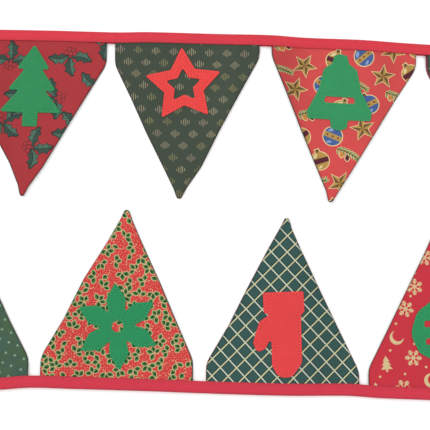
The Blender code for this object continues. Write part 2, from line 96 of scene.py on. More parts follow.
# Sides of each pennant: how far each side stands out from a straight line at these shares of
# its length, and a roll, which is how far the back panel shows past the front's edge
SIDE_SHARES = (0.25, 0.5, 0.75, 0.9)
Sides = namedtuple("Sides", "left right left_roll right_roll")
SIDES = {
    "holly": Sides((0.0, 0.5, -3.8, -3.3), (0.0, 0.1, 0.6, -1.3), 1.1, 0.4),
    "fan": Sides((-0.6, 0.0, -1.0, -1.5), (0.0, 0.5, 2.4, -0.3), 0.4, 0.5),
    "festive": Sides((-0.7, -1.0, -2.1, -2.9), (-0.9, -0.3, 0.0, -0.3), 0.7, 0.4),
    "pine": Sides((0.3, 0.4, -0.1, -0.8), (0.1, -0.6, -0.6, -0.9), 2.2, 0.4),
    "gilt": Sides((-0.7, -1.1, -1.7, -1.2), (0.4, 0.6, 0.1, -0.6), 0.5, 0.4),
    "lattice": Sides((-1.8, -0.3, 0.0, -0.5), (-1.5, -2.6, -3.2, -3.1), 0.5, 0.4),
    "sprig": Sides((-1.2, 1.3, -0.9, -1.1), (-0.2, 0.0, -1.1, -1.3), 0.4, 0.8),
    "dot": Sides((0.4, 0.6, -0.1, -0.8), (-1.2, -0.9, -0.6, -0.8), 0.4, 0.4),
}
PANEL_START = 2.8
TOP_STEPS = 40
SHOULDER_RADIUS = 24.0
TIP_RADIUS = 3.2
TIP_LIFT_LENGTH = 60.0
PANEL_HOLD = 15.0
PANEL_RAMP = 20.0

# Soft folds, first the frame's swellings and then finer creases: the line in plan that each
# runs along, how high the cloth stands along it and how wide it is
Fold = namedtuple("Fold", "x0 y0 x1 y1 height width")
FOLDS = {
    "holly": [Fold(-150, 128, -196, 62, 1.3, 46), Fold(-262, 140, -240, 96, 1.0, 46),
              Fold(-140, 180, -152, 132, 0.5, 11), Fold(-236, 176, -246, 132, 0.4, 12),
              Fold(-214, 66, -206, 30, 0.4, 10)],
    "fan": [Fold(16, 142, -14, 84, 1.1, 48), Fold(30, 172, 8, 120, 0.4, 12),
            Fold(-84, 172, -72, 128, 0.4, 11), Fold(-52, 84, -42, 34, 0.4, 10)],
    "festive": [Fold(88, 146, 104, 84, 1.6, 48), Fold(178, 112, 148, 62, 1.2, 46),
                Fold(84, 172, 92, 112, 0.6, 13), Fold(104, 92, 116, 40, 0.5, 11),
                Fold(196, 168, 176, 128, 0.5, 12)],
    "pine": [Fold(344, 140, 318, 72, 1.3, 48), Fold(256, 160, 272, 112, 0.5, 12),
             Fold(350, 158, 336, 110, 0.4, 12)],
    "gilt": [Fold(190, -132, 222, -62, 1.1, 48), Fold(286, -128, 262, -70, 1.4, 46),
             Fold(180, -162, 196, -112, 0.5, 12), Fold(292, -160, 276, -108, 0.4, 11)],
    "lattice": [Fold(118, -124, 94, -56, 1.2, 48), Fold(18, -158, 34, -106, 0.4, 12),
                Fold(122, -156, 106, -98, 0.5, 12), Fold(84, -66, 80, -22, 0.4, 10)],
    "sprig": [Fold(-150, -128, -112, -52, 1.3, 48), Fold(-44, -130, -66, -92, 1.0, 46),
              Fold(-156, -154, -138, -104, 0.5, 12), Fold(-46, -152, -62, -104, 0.4, 12),
              Fold(-104, -62, -98, -14, 0.4, 10)],
    "dot": [Fold(-222, -132, -252, -62, 1.4, 48), Fold(-316, -156, -300, -106, 0.5, 12),
            Fold(-216, -154, -234, -100, 0.4, 12)],
}
PUCKER_HEIGHT = 0.32
PUCKER_WAVES = ((0.6, 13.7, 1.0), (0.4, 9.1, 2.3))
PUCKER_START = 14.0
PUCKER_RAMP = 8.0
PUCKER_FULL = 20.0
PUCKER_REACH = 30.0
ALLOWANCE_WIDTH = 6.0
ALLOWANCE_HEIGHT = 0.22

# Motifs: the middle of each in plan, its size and its turn off upright
Applique = namedtuple("Applique", "pennant shape x y width height tilt cloth")
STAR_ROUNDING = 1.5
APPLIQUES = [
    Applique("holly", "tree", -198.0, 142.0, 68, 92, -2, "green"),
    Applique("fan", "open_star", -34.0, 142.0, 80, 80, 3, "red"),
    Applique("festive", "bell", 135.0, 134.0, 70, 86, -3, "green"),
    Applique("pine", "heart", 308.0, 134.0, 68, 64, 2, "red"),
    Applique("gilt", "bauble", 238.0, -132.0, 66, 82, 4, "green"),
    Applique("lattice", "mitten", 70.0, -126.0, 62, 88, 2, "red"),
    Applique("sprig", "flower", -101.0, -117.5, 86, 86, 4, "green"),
    Applique("dot", "star", -270.0, -130.0, 72, 72, 5, "red"),
]

# Mesh spacing over the cloth, near its edges and along the tape
FINE = 3.6
EDGE_STEP = 2.4
RIM_RINGS = (0.35, 0.9, 1.8, 3.0)
TAPE_STEP = 3.0
ARC_STEP = math.radians(15)
CORNER_CLEAR = 0.45
RING_NEAREST, RING_FARTHEST = 0.85, 1.15
BEND_LIMIT = 0.4
CDT_INSIDE = 1
CDT_MERGE = 1e-4

# Sewing: a stitch every STITCH_PITCH, in a shallow groove that it pulls into the cloth
STITCH_PITCH = 3.3
STITCH_LENGTH = 2.1
STITCH_RADIUS = 0.28
GROOVE_DEPTH = 0.32
GROOVE_WIDTH = 1.1
MOTIF_STITCH_IN = 2.5
# Painted shade in the motifs' needle holes: dark discs of this radius, keeping this share of the
# motif's colour
HOLE_RADIUS = 0.55
HOLE_SHADE = 0.58
MOTIF_RIM = 0.07
MOTIF_RIM_WIDTH = 0.6
MOTIF_EDGE_DROP = 0.35
MOTIF_EDGE_WIDTH = 0.8
MOTIF_RINGS = (0.3, 0.8, 1.6, MOTIF_STITCH_IN, 3.4)
STITCH_SIDES = 6
STITCH_RINGS = ((-0.62, 0.35), (0.0, 0.6), (0.62, 0.35))
STITCH_FLATNESS = 1.25
TAPE_STITCH_IN = 10.3


def smooth(t):
    """0 below 0, 1 above 1, and an S-curve between."""
    t = np.clip(t, 0.0, 1.0)
    return t * t * (3 - 2 * t)


def curve_through(points, step):
    """Samples of a centripetal Catmull-Rom curve through the points, about step apart."""
    ends = [2 * points[0] - points[1], 2 * points[-1] - points[-2]]
    line = [ends[0], *points, ends[1]]
    samples = []
    for p0, p1, p2, p3 in zip(line, line[1:], line[2:], line[3:]):
        t1 = (p1 - p0).length ** 0.5
        t2 = t1 + (p2 - p1).length ** 0.5
        t3 = t2 + (p3 - p2).length ** 0.5
        count = max(1, round((p2 - p1).length / step))
        for i in range(count):
            t = t1 + (t2 - t1) * i / count
            a1 = p0.lerp(p1, t / t1)
            a2 = p1.lerp(p2, (t - t1) / (t2 - t1))
            a3 = p2.lerp(p3, (t - t2) / (t3 - t2))
            b1 = a1.lerp(a2, t / t2)
            b2 = a2.lerp(a3, (t - t1) / (t3 - t1))
            samples.append(b1.lerp(b2, (t - t1) / (t2 - t1)))
    samples.append(points[-1].copy())
    return samples


def turn_points():
    """The folded edge's route round the turn, between the ends of the two rows."""
    start = Vector(UPPER_EDGE[-1])
    end = Vector(LOWER_EDGE[0])
    route = []
    for i in range(1, TURN_POINTS + 1):
        angle = math.pi * i / (TURN_POINTS + 1)
        point = start.lerp(end, (1 - math.cos(angle)) / 2)
        route.append(point + Vector((TURN_REACH * math.sin(angle), 0)))
    return route


# How far to each side the folded edge's direction is averaged
EDGE_REACH = 6.0


class FoldedEdge:
    """The tape's folded edge as one curve, found by length along it or by plan x."""

    def __init__(self):
        route = [Vector(p) for p in UPPER_EDGE]
        route += turn_points()
        route += [Vector(p) for p in LOWER_EDGE]
        self.points = np.array([tuple(p) for p in curve_through(route, 4.0)])
        steps = np.linalg.norm(np.diff(self.points, axis=0), axis=1)
        self.lengths = np.concatenate([[0.0], np.cumsum(steps)])
        self.total = self.lengths[-1]
        last_upper = self.nearest(UPPER_EDGE[-1])
        first_lower = self.nearest(LOWER_EDGE[0])
        upper = np.arange(last_upper + 1)
        lower = np.arange(first_lower, len(self.points))[::-1]
        self.rows = {1: upper, -1: lower}

    def nearest(self, point):
        """Number of the sample nearest to a point."""
        return int(np.argmin(np.linalg.norm(self.points - np.array(point), axis=1)))

    def at(self, length):
        """Points at these lengths along the edge."""
        x = np.interp(length, self.lengths, self.points[:, 0])
        y = np.interp(length, self.lengths, self.points[:, 1])
        return np.stack([x, y], axis=-1)

    def inward(self, length):
        """Unit ways in towards the cloth at these lengths, smoothed over a few samples."""
        length = np.clip(length, EDGE_REACH, self.total - EDGE_REACH)
        along = self.at(length + EDGE_REACH) - self.at(length - EDGE_REACH)
        along /= np.linalg.norm(along, axis=-1, keepdims=True)
        return np.stack([along[..., 1], -along[..., 0]], axis=-1)

    def y(self, row, x):
        """Plan y of the folded edge at plan x on this row."""
        at = self.rows[row]
        return np.interp(x, self.points[at, 0], self.points[at, 1])

    def length_at(self, row, x):
        """Length along the edge at plan x on this row."""
        at = self.rows[row]
        return float(np.interp(x, self.points[at, 0], self.lengths[at]))


EDGE = FoldedEdge()
CENTRE = (EDGE.points.min(axis=0) + EDGE.points.max(axis=0)) / 2

# Where each pennant starts and ends, as lengths along the folded edge
SPANS = [sorted(EDGE.length_at(p.row, x) for x in (p.left, p.right)) for p in PENNANTS]


def to_frame(points):
    """Millimetres in plan to metres in the frame."""
    points = np.array(points, float).reshape(-1, 3)
    return (points - [CENTRE[0], CENTRE[1], 0.0]) * MM


def depth(pennant, x, y):
    """Distance of plan points in from the tape's folded edge."""
    return (EDGE.y(pennant.row, x) - y) * pennant.row


def distance_to_line(x, y, fold):
    """Distance of plan points from the line that a fold runs along."""
    way_x, way_y = fold.x1 - fold.x0, fold.y1 - fold.y0
    share = ((x - fold.x0) * way_x + (y - fold.y0) * way_y) / (way_x ** 2 + way_y ** 2)
    share = np.clip(share, 0.0, 1.0)
    return np.hypot(x - fold.x0 - way_x * share, y - fold.y0 - way_y * share)


def rise(pennant, x, y):
    """Height of the underside of a pennant's back panel."""
    deep = depth(pennant, x, y)
    loose = smooth((deep - PANEL_HOLD) / PANEL_RAMP)
    height = (CLOTH + GAP) * (1 - loose)
    for fold in FOLDS[pennant.name]:
        away = np.clip(distance_to_line(x, y, fold) / fold.width, 0, 1)
        height = height + fold.height * loose * 0.5 * (1 + np.cos(np.pi * away))
    from_tip = depth(pennant, pennant.tip_x, pennant.tip_y) - deep
    height = height + pennant.lift * np.clip(1 - from_tip / TIP_LIFT_LENGTH, 0, None) ** 2
    return height + puckers(pennant, x, deep)


def puckers(pennant, x, deep):
    """Small gathers that the binding's stitches pull into the cloth beside the tape."""
    phase = sum(map(ord, pennant.name)) % 7
    wave = sum(size * np.cos(2 * np.pi * (x / long) + shift * phase)
               for size, long, shift in PUCKER_WAVES)
    strength = smooth((deep - PUCKER_START) / PUCKER_RAMP)
    strength = strength * (1 - smooth((deep - PUCKER_FULL) / PUCKER_REACH))
    return PUCKER_HEIGHT * strength * (1 + wave) / 2


def corner_arc(before, corner, after, radius):
    """Points of the arc that rounds one corner of an outline."""
    back = (before - corner).normalized()
    on = (after - corner).normalized()
    half = math.acos(max(-1.0, min(1.0, back.dot(on)))) / 2
    reach = min(
        radius / math.tan(half),
        CORNER_CLEAR * (before - corner).length,
        CORNER_CLEAR * (after - corner).length,
    )
    radius = reach * math.tan(half)
    centre = corner + (back + on).normalized() * (radius / math.sin(half))
    start = corner + back * reach - centre
    sweep = math.pi - 2 * half
    turn = math.copysign(sweep, (corner - before).cross(after - corner))
    count = max(1, math.ceil(sweep / ARC_STEP))
    arc = []
    for i in range(count + 1):
        angle = turn * i / count
        cos, sin = math.cos(angle), math.sin(angle)
        arc.append(centre + Vector((start.x * cos - start.y * sin,
                                    start.x * sin + start.y * cos)))
    return arc


def rounded(corners):
    """Outline of (point, radius) corners, with an arc where the radius isn't zero."""
    outline = []
    for i, (point, radius) in enumerate(corners):
        before = corners[i - 1][0]
        after = corners[(i + 1) % len(corners)][0]
        if radius:
            outline += corner_arc(before, point, after, radius)
        else:
            outline.append(point)
    return outline


def divided(outline, step):
    """The closed outline with its long edges cut into lengths of at most step."""
    result = []
    for a, b in zip(outline, outline[1:] + outline[:1]):
        count = max(1, math.ceil((b - a).length / step))
        result += [a.lerp(b, i / count) for i in range(count)]
    return result


def side_points(shoulder, tip, stands):
    """Points along a pennant's side, each standing out from the straight line by so much."""
    way = tip - shoulder
    out = Vector((way.y, -way.x)).normalized()
    if out.x * (shoulder.x - tip.x) < 0:
        out.negate()
    return [shoulder + way * t + out * stand for t, stand in zip(SIDE_SHARES, stands)]


def pennant_outline(pennant, left_inset, right_inset):
    """Plan outline of a panel, its top edge hidden in the tape."""
    down = -pennant.row
    sides = SIDES[pennant.name]
    left = pennant.left + left_inset
    right = pennant.right - right_inset

    def below(x, drop):
        """The point at plan x that lies a distance in from the folded edge."""
        return Vector((x, float(EDGE.y(pennant.row, x)) + down * drop))
    reach = depth(pennant, pennant.tip_x, pennant.tip_y) - TAPE_WIDTH - pennant.left_drop
    half_angle = math.atan2((right - left) / 2, reach)
    blunt = TIP_RADIUS / math.sin(half_angle) - TIP_RADIUS
    tip = Vector((
        pennant.tip_x + (left_inset - right_inset) / 2,
        pennant.tip_y + down * (blunt - (left_inset + right_inset) / 2),
    ))
    left_shoulder = below(left, TAPE_WIDTH + pennant.left_drop)
    right_shoulder = below(right, TAPE_WIDTH + pennant.right_drop)
    tops = [left + (right - left) * i / TOP_STEPS for i in range(TOP_STEPS + 1)]
    corners = [(below(x, PANEL_START), 0) for x in tops]
    corners.append((right_shoulder, SHOULDER_RADIUS))
    corners += [(p, 0) for p in side_points(right_shoulder, tip, sides.right)]
    corners.append((tip, TIP_RADIUS))
    corners += [(p, 0) for p in side_points(left_shoulder, tip, sides.left)][::-1]
    corners.append((left_shoulder, SHOULDER_RADIUS))
    return divided(rounded(corners), EDGE_STEP)


def signed_area(loop):
    """Area of a closed plan loop, positive if it runs anticlockwise."""
    loop = np.array([tuple(p) for p in loop])
    after = np.roll(loop, -1, axis=0)
    return float(np.sum(loop[:, 0] * after[:, 1] - after[:, 0] * loop[:, 1]) / 2)


def facing(loop, way):
    """The loop as an array, run anticlockwise if way is 1 and clockwise if it is -1."""
    loop = np.array([tuple(p) for p in loop], float)
    return loop if signed_area(loop) * way > 0 else loop[::-1]


def inside(loop, points):
    """Which plan points lie inside a closed loop."""
    odd = np.zeros(len(points), bool)
    x, y = points[:, 0], points[:, 1]
    for a, b in zip(loop, np.roll(loop, -1, axis=0)):
        crossed = (a[1] > y) != (b[1] > y)
        if crossed.any():
            at = a[0] + (b[0] - a[0]) * (y - a[1]) / (b[1] - a[1] or 1.0)
            odd ^= crossed & (x < at)
    return odd


def clearance(loops, points):
    """Distance of plan points from the nearest of the loops."""
    nearest = np.full(len(points), np.inf)
    for loop in loops:
        way = np.roll(loop, -1, axis=0) - loop
        squared = np.maximum((way ** 2).sum(axis=1), 1e-12)
        for first in range(0, len(points), 2000):
            part = slice(first, first + 2000)
            offset = points[part, None] - loop[None]
            share = np.clip((offset * way).sum(axis=2) / squared, 0, 1)
            away = np.linalg.norm(offset - share[..., None] * way, axis=2)
            nearest[part] = np.minimum(nearest[part], away.min(axis=1))
    return nearest


def moved_in(loop, by):
    """Points of a loop moved to its left by a distance, as far as its bends allow."""
    before = loop - np.roll(loop, 1, axis=0)
    after = np.roll(loop, -1, axis=0) - loop
    before /= np.linalg.norm(before, axis=1, keepdims=True)
    after /= np.linalg.norm(after, axis=1, keepdims=True)
    normals = [np.stack([-way[:, 1], way[:, 0]], axis=1) for way in (before, after)]
    both = normals[0] + normals[1]
    both /= np.maximum(1 + (normals[0] * normals[1]).sum(axis=1), BEND_LIMIT)[:, None]
    return loop + both * by


def hexagon_lattice(low, high, step):
    """Points of a triangular lattice over a box in plan."""
    row_step = step * math.sin(math.radians(60))
    rows = np.arange(low[1], high[1] + row_step, row_step)
    points = []
    for i, y in enumerate(rows):
        xs = np.arange(low[0] + 0.5 * step * (i % 2), high[0] + step, step)
        points.append(np.stack([xs, np.full(len(xs), y)], axis=1))
    return np.concatenate(points)


def within(loops, points):
    """Which plan points lie inside the first closed loop and outside the rest."""
    kept = inside(loops[0], points)
    for hole in loops[1:]:
        kept &= ~inside(hole, points)
    return kept


Patch = namedtuple("Patch", "loop colour")
Plan = namedtuple("Plan", "points triangles away covers")


def cloth_plan(loops, rings, patches=()):
    """Triangulated plan of a cloth inside its first loop and outside the rest. Rings are
    distances from its edge that get points of their own. Gives the points, the triangles,
    the distance of each point from the edge, and the patch that each triangle lies in."""
    loops = [facing(loop, 1 if i == 0 else -1) for i, loop in enumerate(loops)]
    lattice = hexagon_lattice(loops[0].min(axis=0), loops[0].max(axis=0), FINE)
    spread = [lattice[clearance(loops, lattice) > rings[-1] + 0.5 * FINE]]
    for by in rings:
        for loop in loops:
            ring = moved_in(loop, by)
            off = clearance(loops, ring)
            spread.append(ring[(off > RING_NEAREST * by) & (off < RING_FARTHEST * by)])
    spread = np.concatenate(spread)

    plan = []
    edges = []
    for loop in loops:
        first = len(plan)
        plan += [Vector(p) for p in loop]
        edges += [(first + i, first + (i + 1) % len(loop)) for i in range(len(loop))]
    faces = [list(range(len(loops[0])))]
    for patch in patches:
        loop = facing(patch.loop, 1)
        faces.append(list(range(len(plan), len(plan) + len(loop))))
        plan += [Vector(p) for p in loop]
    plan += [Vector(p) for p in spread[within(loops, spread)]]
    plan, _, triangles, _, _, covers = delaunay_2d_cdt(plan, edges, faces, CDT_INSIDE, CDT_MERGE)
    plan = np.array([tuple(p) for p in plan])
    filled = within(loops, plan[np.array(triangles)].mean(axis=1))
    kept = [i for i, cover in enumerate(covers) if filled[i] and 0 in cover]
    used = sorted({corner for i in kept for corner in triangles[i]})
    renumber = {old: new for new, old in enumerate(used)}
    triangles = [tuple(renumber[corner] for corner in triangles[i]) for i in kept]
    points = plan[used]
    return Plan(points, triangles, clearance(loops, points), [max(covers[i]) - 1 for i in kept])


def linked(name, data):
    """A new object of this data, linked into the scene."""
    thing = bpy.data.objects.new(name, data)
    bpy.context.scene.collection.objects.link(thing)
    return thing


def new_object(name, points, faces, material):
    """One smooth-shaded object from plan points in millimetres."""
    mesh = bpy.data.meshes.new(name)
    mesh.from_pydata(to_frame(points).tolist(), [], faces)
    mesh.shade_smooth()
    mesh.materials.append(material)
    return linked(name, mesh)


def paint(thing, colours):
    """Stores print colours in a piece, one for each corner of each of its faces."""
    layer = thing.data.color_attributes.new("print", "FLOAT_COLOR", "CORNER")
    layer.data.foreach_set("color", np.array(colours, np.float32).ravel())


def closed_sheet(name, plan, low, high, material, ground=None, patches=(), shade_and_fray=None):
    """A closed sheet between two heights over its plan, with print colours if it has any,
    which each plan point scales: by painted shade on a pennant, by a pale fray on a motif."""
    count = len(plan.points)
    corners = np.vstack([np.column_stack([plan.points, level]) for level in (low, high)])
    sides = {(a, b) for t in plan.triangles for a, b in zip(t, t[1:] + t[:1])}
    rim = [(a, b, b + count, a + count) for a, b in sorted(sides) if (b, a) not in sides]
    faces = [t[::-1] for t in plan.triangles]
    faces += [tuple(i + count for i in t) for t in plan.triangles] + rim
    thing = new_object(name, corners, faces, material)
    if ground:
        colours = []
        covers = [-1] * len(plan.triangles) + plan.covers + [-1] * len(rim)
        for face, cover in zip(faces, covers):
            colour = ground if cover < 0 else patches[cover].colour
            colours += [[*[c * shade_and_fray[i % count] for c in colour], float(cover < 0)] for i in face]
        paint(thing, colours)
    return thing


def hexed(code):
    """Linear colour of an sRGB hex code."""
    shares = [int(code[i:i + 2], 16) / 255 for i in (1, 3, 5)]
    return tuple(s / 12.92 if s <= 0.04045 else ((s + 0.055) / 1.055) ** 2.4 for s in shares)


def node(tree, kind, inputs=None, **settings):
    """Adds one node; a value given for an input is set on it, and a socket is linked to it."""
    made = tree.nodes.new(kind)
    for key, value in settings.items():
        setattr(made, key, value)
    for key, value in (inputs or {}).items():
        if isinstance(value, bpy.types.NodeSocket):
            tree.links.new(value, made.inputs[key])
        else:
            made.inputs[key].default_value = value
    return made


def maths(tree, operation, *values):
    """A Math node's output for up to three values or sockets."""
    return node(tree, "ShaderNodeMath", dict(enumerate(values)), operation=operation).outputs[0]


def noise(tree, vector, scale, detail, roughness=0.5):
    """A Noise Texture's output."""
    return node(tree, "ShaderNodeTexNoise", {
        "Vector": vector, "Scale": scale, "Detail": detail, "Roughness": roughness,
    }).outputs["Fac"]


def mixed(tree, share, base, colour):
    """The base colour with a share of another mixed in."""
    return node(tree, "ShaderNodeMix", {
        "Factor": share, "A": base, "B": (*colour, 1),
    }, data_type="RGBA").outputs["Result"]


def new_material(name, roughness, sheen=0.0):
    """A material, with its node tree and its shader."""
    material = bpy.data.materials.new(name)
    material.use_nodes = True
    tree = material.node_tree
    shader = tree.nodes["Principled BSDF"]
    shader.inputs["Roughness"].default_value = roughness
    shader.inputs["Sheen Weight"].default_value = sheen
    return material, tree, shader


def cover(tree, shader, colour, shade, relief, strength, distance):
    """Gives the shader a colour scaled by a shade, and a relief."""
    scaled = node(tree, "ShaderNodeVectorMath", {0: colour, "Scale": shade}, operation="SCALE")
    tree.links.new(scaled.outputs[0], shader.inputs["Base Color"])
    bump = node(tree, "ShaderNodeBump", {
        "Height": relief, "Strength": strength, "Distance": distance,
    })
    tree.links.new(bump.outputs[0], shader.inputs["Normal"])


WEAVE_PITCH = 0.9
WEAVE_RELIEF = 0.1
WEAVE_STRENGTH = 0.85
THREAD_RELIEF = 0.1
THREAD_STRENGTH = 0.4
STREAK_STRETCHES = ((0.11, 1.1, 1.0), (1.1, 0.11, 1.0))
MOTTLE_SIZE = 24.0
CLOUD_SIZE = 13.0


def cloth_material(name, colour, mottle=0.05, streak=0.12, bias=0.0, printed=False,
                   dots=None, tinge=None):
    """Woven cotton: uneven dye, thick and thin threads along both ways of the weave, and the
    weave's own relief. A printed one takes its colours from the mesh, dots adds small pale
    spots of (colour, pitch, radius) to its ground, and tinge clouds it with a second dye."""
    material, tree, shader = new_material(name, roughness=0.86, sheen=0.12)
    shader.inputs["Sheen Roughness"].default_value = 0.45
    shader.inputs["Specular IOR Level"].default_value = 0.25
    thread = node(tree, "ShaderNodeMapping", {
        "Vector": node(tree, "ShaderNodeTexCoord").outputs["Object"],
        "Rotation": (0, 0, bias),
        "Scale": (1 / MM, 1 / MM, 1 / MM),
    }).outputs[0]
    streaks = []
    for stretch in STREAK_STRETCHES:
        along = node(tree, "ShaderNodeMapping", {"Vector": thread, "Scale": stretch}).outputs[0]
        streaks.append(noise(tree, along, scale=1.0, detail=2.0, roughness=0.7))
    both = maths(tree, "ADD", *streaks)
    large = noise(tree, thread, scale=1 / MOTTLE_SIZE, detail=3.0, roughness=0.6)
    shade = maths(tree, "MULTIPLY_ADD", large, 2 * mottle, 1 - mottle)
    shade = maths(tree, "ADD", shade, maths(tree, "MULTIPLY_ADD", both, streak, -streak))

    base = colour
    if printed:
        paint = node(tree, "ShaderNodeAttribute", attribute_name="print")
        base, ground = paint.outputs["Color"], paint.outputs["Alpha"]
        if tinge:
            clouds = noise(tree, thread, scale=1 / CLOUD_SIZE, detail=3.0, roughness=0.55)
            share = node(tree, "ShaderNodeMapRange", {
                "Value": clouds, "From Min": 0.4, "From Max": 0.6,
            }).outputs[0]
            base = mixed(tree, maths(tree, "MULTIPLY", share, ground), base, tinge)
        if dots:
            spot_colour, pitch, radius = dots
            cells = node(tree, "ShaderNodeTexVoronoi", {
                "Vector": thread, "Scale": 1 / pitch, "Randomness": 0.8,
            }, voronoi_dimensions="2D")
            spot = maths(tree, "LESS_THAN", cells.outputs["Distance"], radius / pitch)
            base = mixed(tree, maths(tree, "MULTIPLY", spot, ground), base, spot_colour)

    axes = node(tree, "ShaderNodeSeparateXYZ", {"Vector": thread}).outputs
    waves = [maths(tree, "SINE", maths(tree, "MULTIPLY", axis, 2 * math.pi / WEAVE_PITCH))
             for axis in axes[:2]]
    relief = maths(tree, "MULTIPLY_ADD", both, 1.2, maths(tree, "MULTIPLY", *waves))
    cover(tree, shader, base, shade, relief, WEAVE_STRENGTH, WEAVE_RELIEF * MM)
    return material


def thread_material(name, code):
    """Sewing thread: a little sheen, and a fine twist across it."""
    material, tree, shader = new_material(name, roughness=0.6, sheen=0.2)
    coordinates = node(tree, "ShaderNodeTexCoord").outputs["Object"]
    twist = noise(tree, coordinates, scale=0.9 / MM, detail=1.0)
    shade = maths(tree, "MULTIPLY_ADD", twist, 0.3, 0.85)
    cover(tree, shader, ink(code), shade, twist, THREAD_STRENGTH, THREAD_RELIEF * MM)
    return material


def polar(radius, angle):
    """The point at a radius and an angle in degrees."""
    turn = math.radians(angle)
    return radius * math.cos(turn), radius * math.sin(turn)


def disc(radius, sides=12):
    """A regular polygon."""
    return [polar(radius, 360 * i / sides) for i in range(sides)]


def star(outer, inner, tips, way=1):
    """A star from its top tip round, anticlockwise or, if way is -1, clockwise."""
    return [polar(inner if i % 2 else outer, 90 + way * 180 * i / tips)
            for i in range(2 * tips)]


def placed(points, x, y, angle=0.0, scale=1.0):
    """Points of a small shape turned by an angle in degrees and set down in plan."""
    cos, sin = polar(scale, angle)
    return [(x + a * cos - b * sin, y + a * sin + b * cos) for a, b in points]


def mirrored(half):
    """Closed corners from a right-hand half, given from its top down to its bottom."""
    return half + [(-x, y, radius) for x, y, radius in reversed(half) if x > 0]


def star_corners(outer, inner):
    """A star of five points."""
    return [(x, y, STAR_ROUNDING) for x, y in star(outer, inner, 5, -1)]


def heart_corners():
    """A heart, from the usual sine curve."""
    corners = []
    for i in range(60):
        t = 2 * math.pi * i / 60
        up = 13 * math.cos(t) - 5 * math.cos(2 * t) - 2 * math.cos(3 * t) - math.cos(4 * t)
        corners.append((math.sin(t) ** 3 / 2, (up + 2.5) / 29, 0))
    return corners


def slot_corners(low, foot, top):
    """A slot across a motif from the height low up, with its half widths there and above."""
    return [(-foot, low, 2), (-top, low + 0.08, 2), (top, low + 0.08, 2), (foot, low, 2)]


def flower_corners():
    """A flower of six pointed petals."""
    petal = ((0.17, -0.10), (0.33, -0.12), (0.53, 0.00), (0.33, 0.12))
    return [(x, y, radius) for i in range(6)
            for (x, y), radius in zip(placed(petal, 0, 0, 90 + 60 * i), (1, 8, 1.5, 8))]


# Outline of each motif and then any holes in it, as (x, y, radius) corners with x and y in
# shares of its width and height. The mitten has its cuff at the bottom and its thumb to the right
MOTIF_SHAPES = {
    "tree": [mirrored([
        (0.00, 0.50, 2), (0.27, 0.20, 2), (0.14, 0.20, 1), (0.39, -0.06, 2), (0.21, -0.06, 1),
        (0.50, -0.33, 2), (0.12, -0.33, 1), (0.12, -0.50, 1),
    ])],
    "star": [star_corners(0.52, 0.24)],
    "open_star": [star_corners(0.54, 0.28), star_corners(0.25, 0.13)],
    "bell": [mirrored([
        (0.00, 0.50, 0), (0.10, 0.48, 3), (0.13, 0.38, 3), (0.26, 0.30, 8), (0.33, 0.02, 12),
        (0.50, -0.26, 3), (0.48, -0.36, 2), (0.14, -0.36, 1), (0.12, -0.47, 5), (0.00, -0.50, 0),
    ]), slot_corners(-0.14, 0.24, 0.22)],
    "heart": [heart_corners()],
    "bauble": [mirrored([
        (0.00, 0.50, 0), (0.08, 0.49, 2), (0.11, 0.41, 1), (0.17, 0.40, 1), (0.17, 0.26, 1),
        (0.42, 0.14, 12), (0.54, -0.10, 18), (0.40, -0.38, 18), (0.14, -0.51, 16),
        (0.00, -0.51, 0),
    ]), slot_corners(-0.04, 0.30, 0.31), slot_corners(-0.26, 0.30, 0.31)],
    "mitten": [[
        (-0.30, 0.34, 10), (-0.12, 0.50, 10), (0.10, 0.50, 10), (0.20, 0.36, 8), (0.19, 0.02, 3),
        (0.30, 0.16, 5), (0.44, 0.20, 5), (0.50, 0.08, 5), (0.38, -0.16, 6), (0.20, -0.24, 2),
        (0.30, -0.26, 2), (0.30, -0.50, 2), (-0.38, -0.50, 2), (-0.38, -0.26, 2),
        (-0.32, -0.22, 2),
    ]],
    "flower": [flower_corners(), [(x, y, 0) for x, y in disc(0.07, 24)]],
}


def motif_loops(applique, pennant):
    """Plan loops of a motif; those of the lower row stand on their heads."""
    turn = applique.tilt + (0 if pennant.row > 0 else 180)
    loops = []
    for shape in MOTIF_SHAPES[applique.shape]:
        points = placed([(x * applique.width, y * applique.height) for x, y, _ in shape],
                        applique.x, applique.y, turn)
        corners = [(Vector(point), radius) for point, (_, _, radius) in zip(points, shape)]
        loops.append(divided(rounded(corners), EDGE_STEP))
    return loops


def groove(away, line):
    """Depth of the groove that a row of stitches makes at a distance from the edge."""
    off = np.clip(np.abs(away - line) / GROOVE_WIDTH, 0, 1)
    return GROOVE_DEPTH * 0.5 * (1 + np.cos(np.pi * off))


def stitches(name, places, material):
    """Joined mesh of short stitches. Each place is a centre and a direction in plan."""
    half = STITCH_LENGTH / 2
    shape = [(-half, 0, -STITCH_RADIUS)]
    for along, lift in STITCH_RINGS:
        shape += [(along * half, STITCH_RADIUS * STITCH_FLATNESS * across,
                   STITCH_RADIUS * (up + lift)) for across, up in disc(1, STITCH_SIDES)]
    shape = np.array([*shape, (half, 0, -STITCH_RADIUS)])
    skin = []
    for i in range(STITCH_SIDES):
        a, b = 1 + i, 1 + (i + 1) % STITCH_SIDES
        rows = [(a + up, b + up) for up in range(0, 3 * STITCH_SIDES, STITCH_SIDES)]
        skin.append((0, b, a))
        skin += [(*low, *high[::-1]) for low, high in zip(rows, rows[1:])]
        skin.append((*rows[-1], len(shape) - 1))
    points = []
    faces = []
    for centre, way in places:
        x, y = np.array(way) / math.hypot(*way)
        faces += [tuple(len(points) + i for i in face) for face in skin]
        points += (np.array(centre) + shape @ [[x, y, 0], [-y, x, 0], [0, 0, 1]]).tolist()
    return new_object(name, points, faces, material)


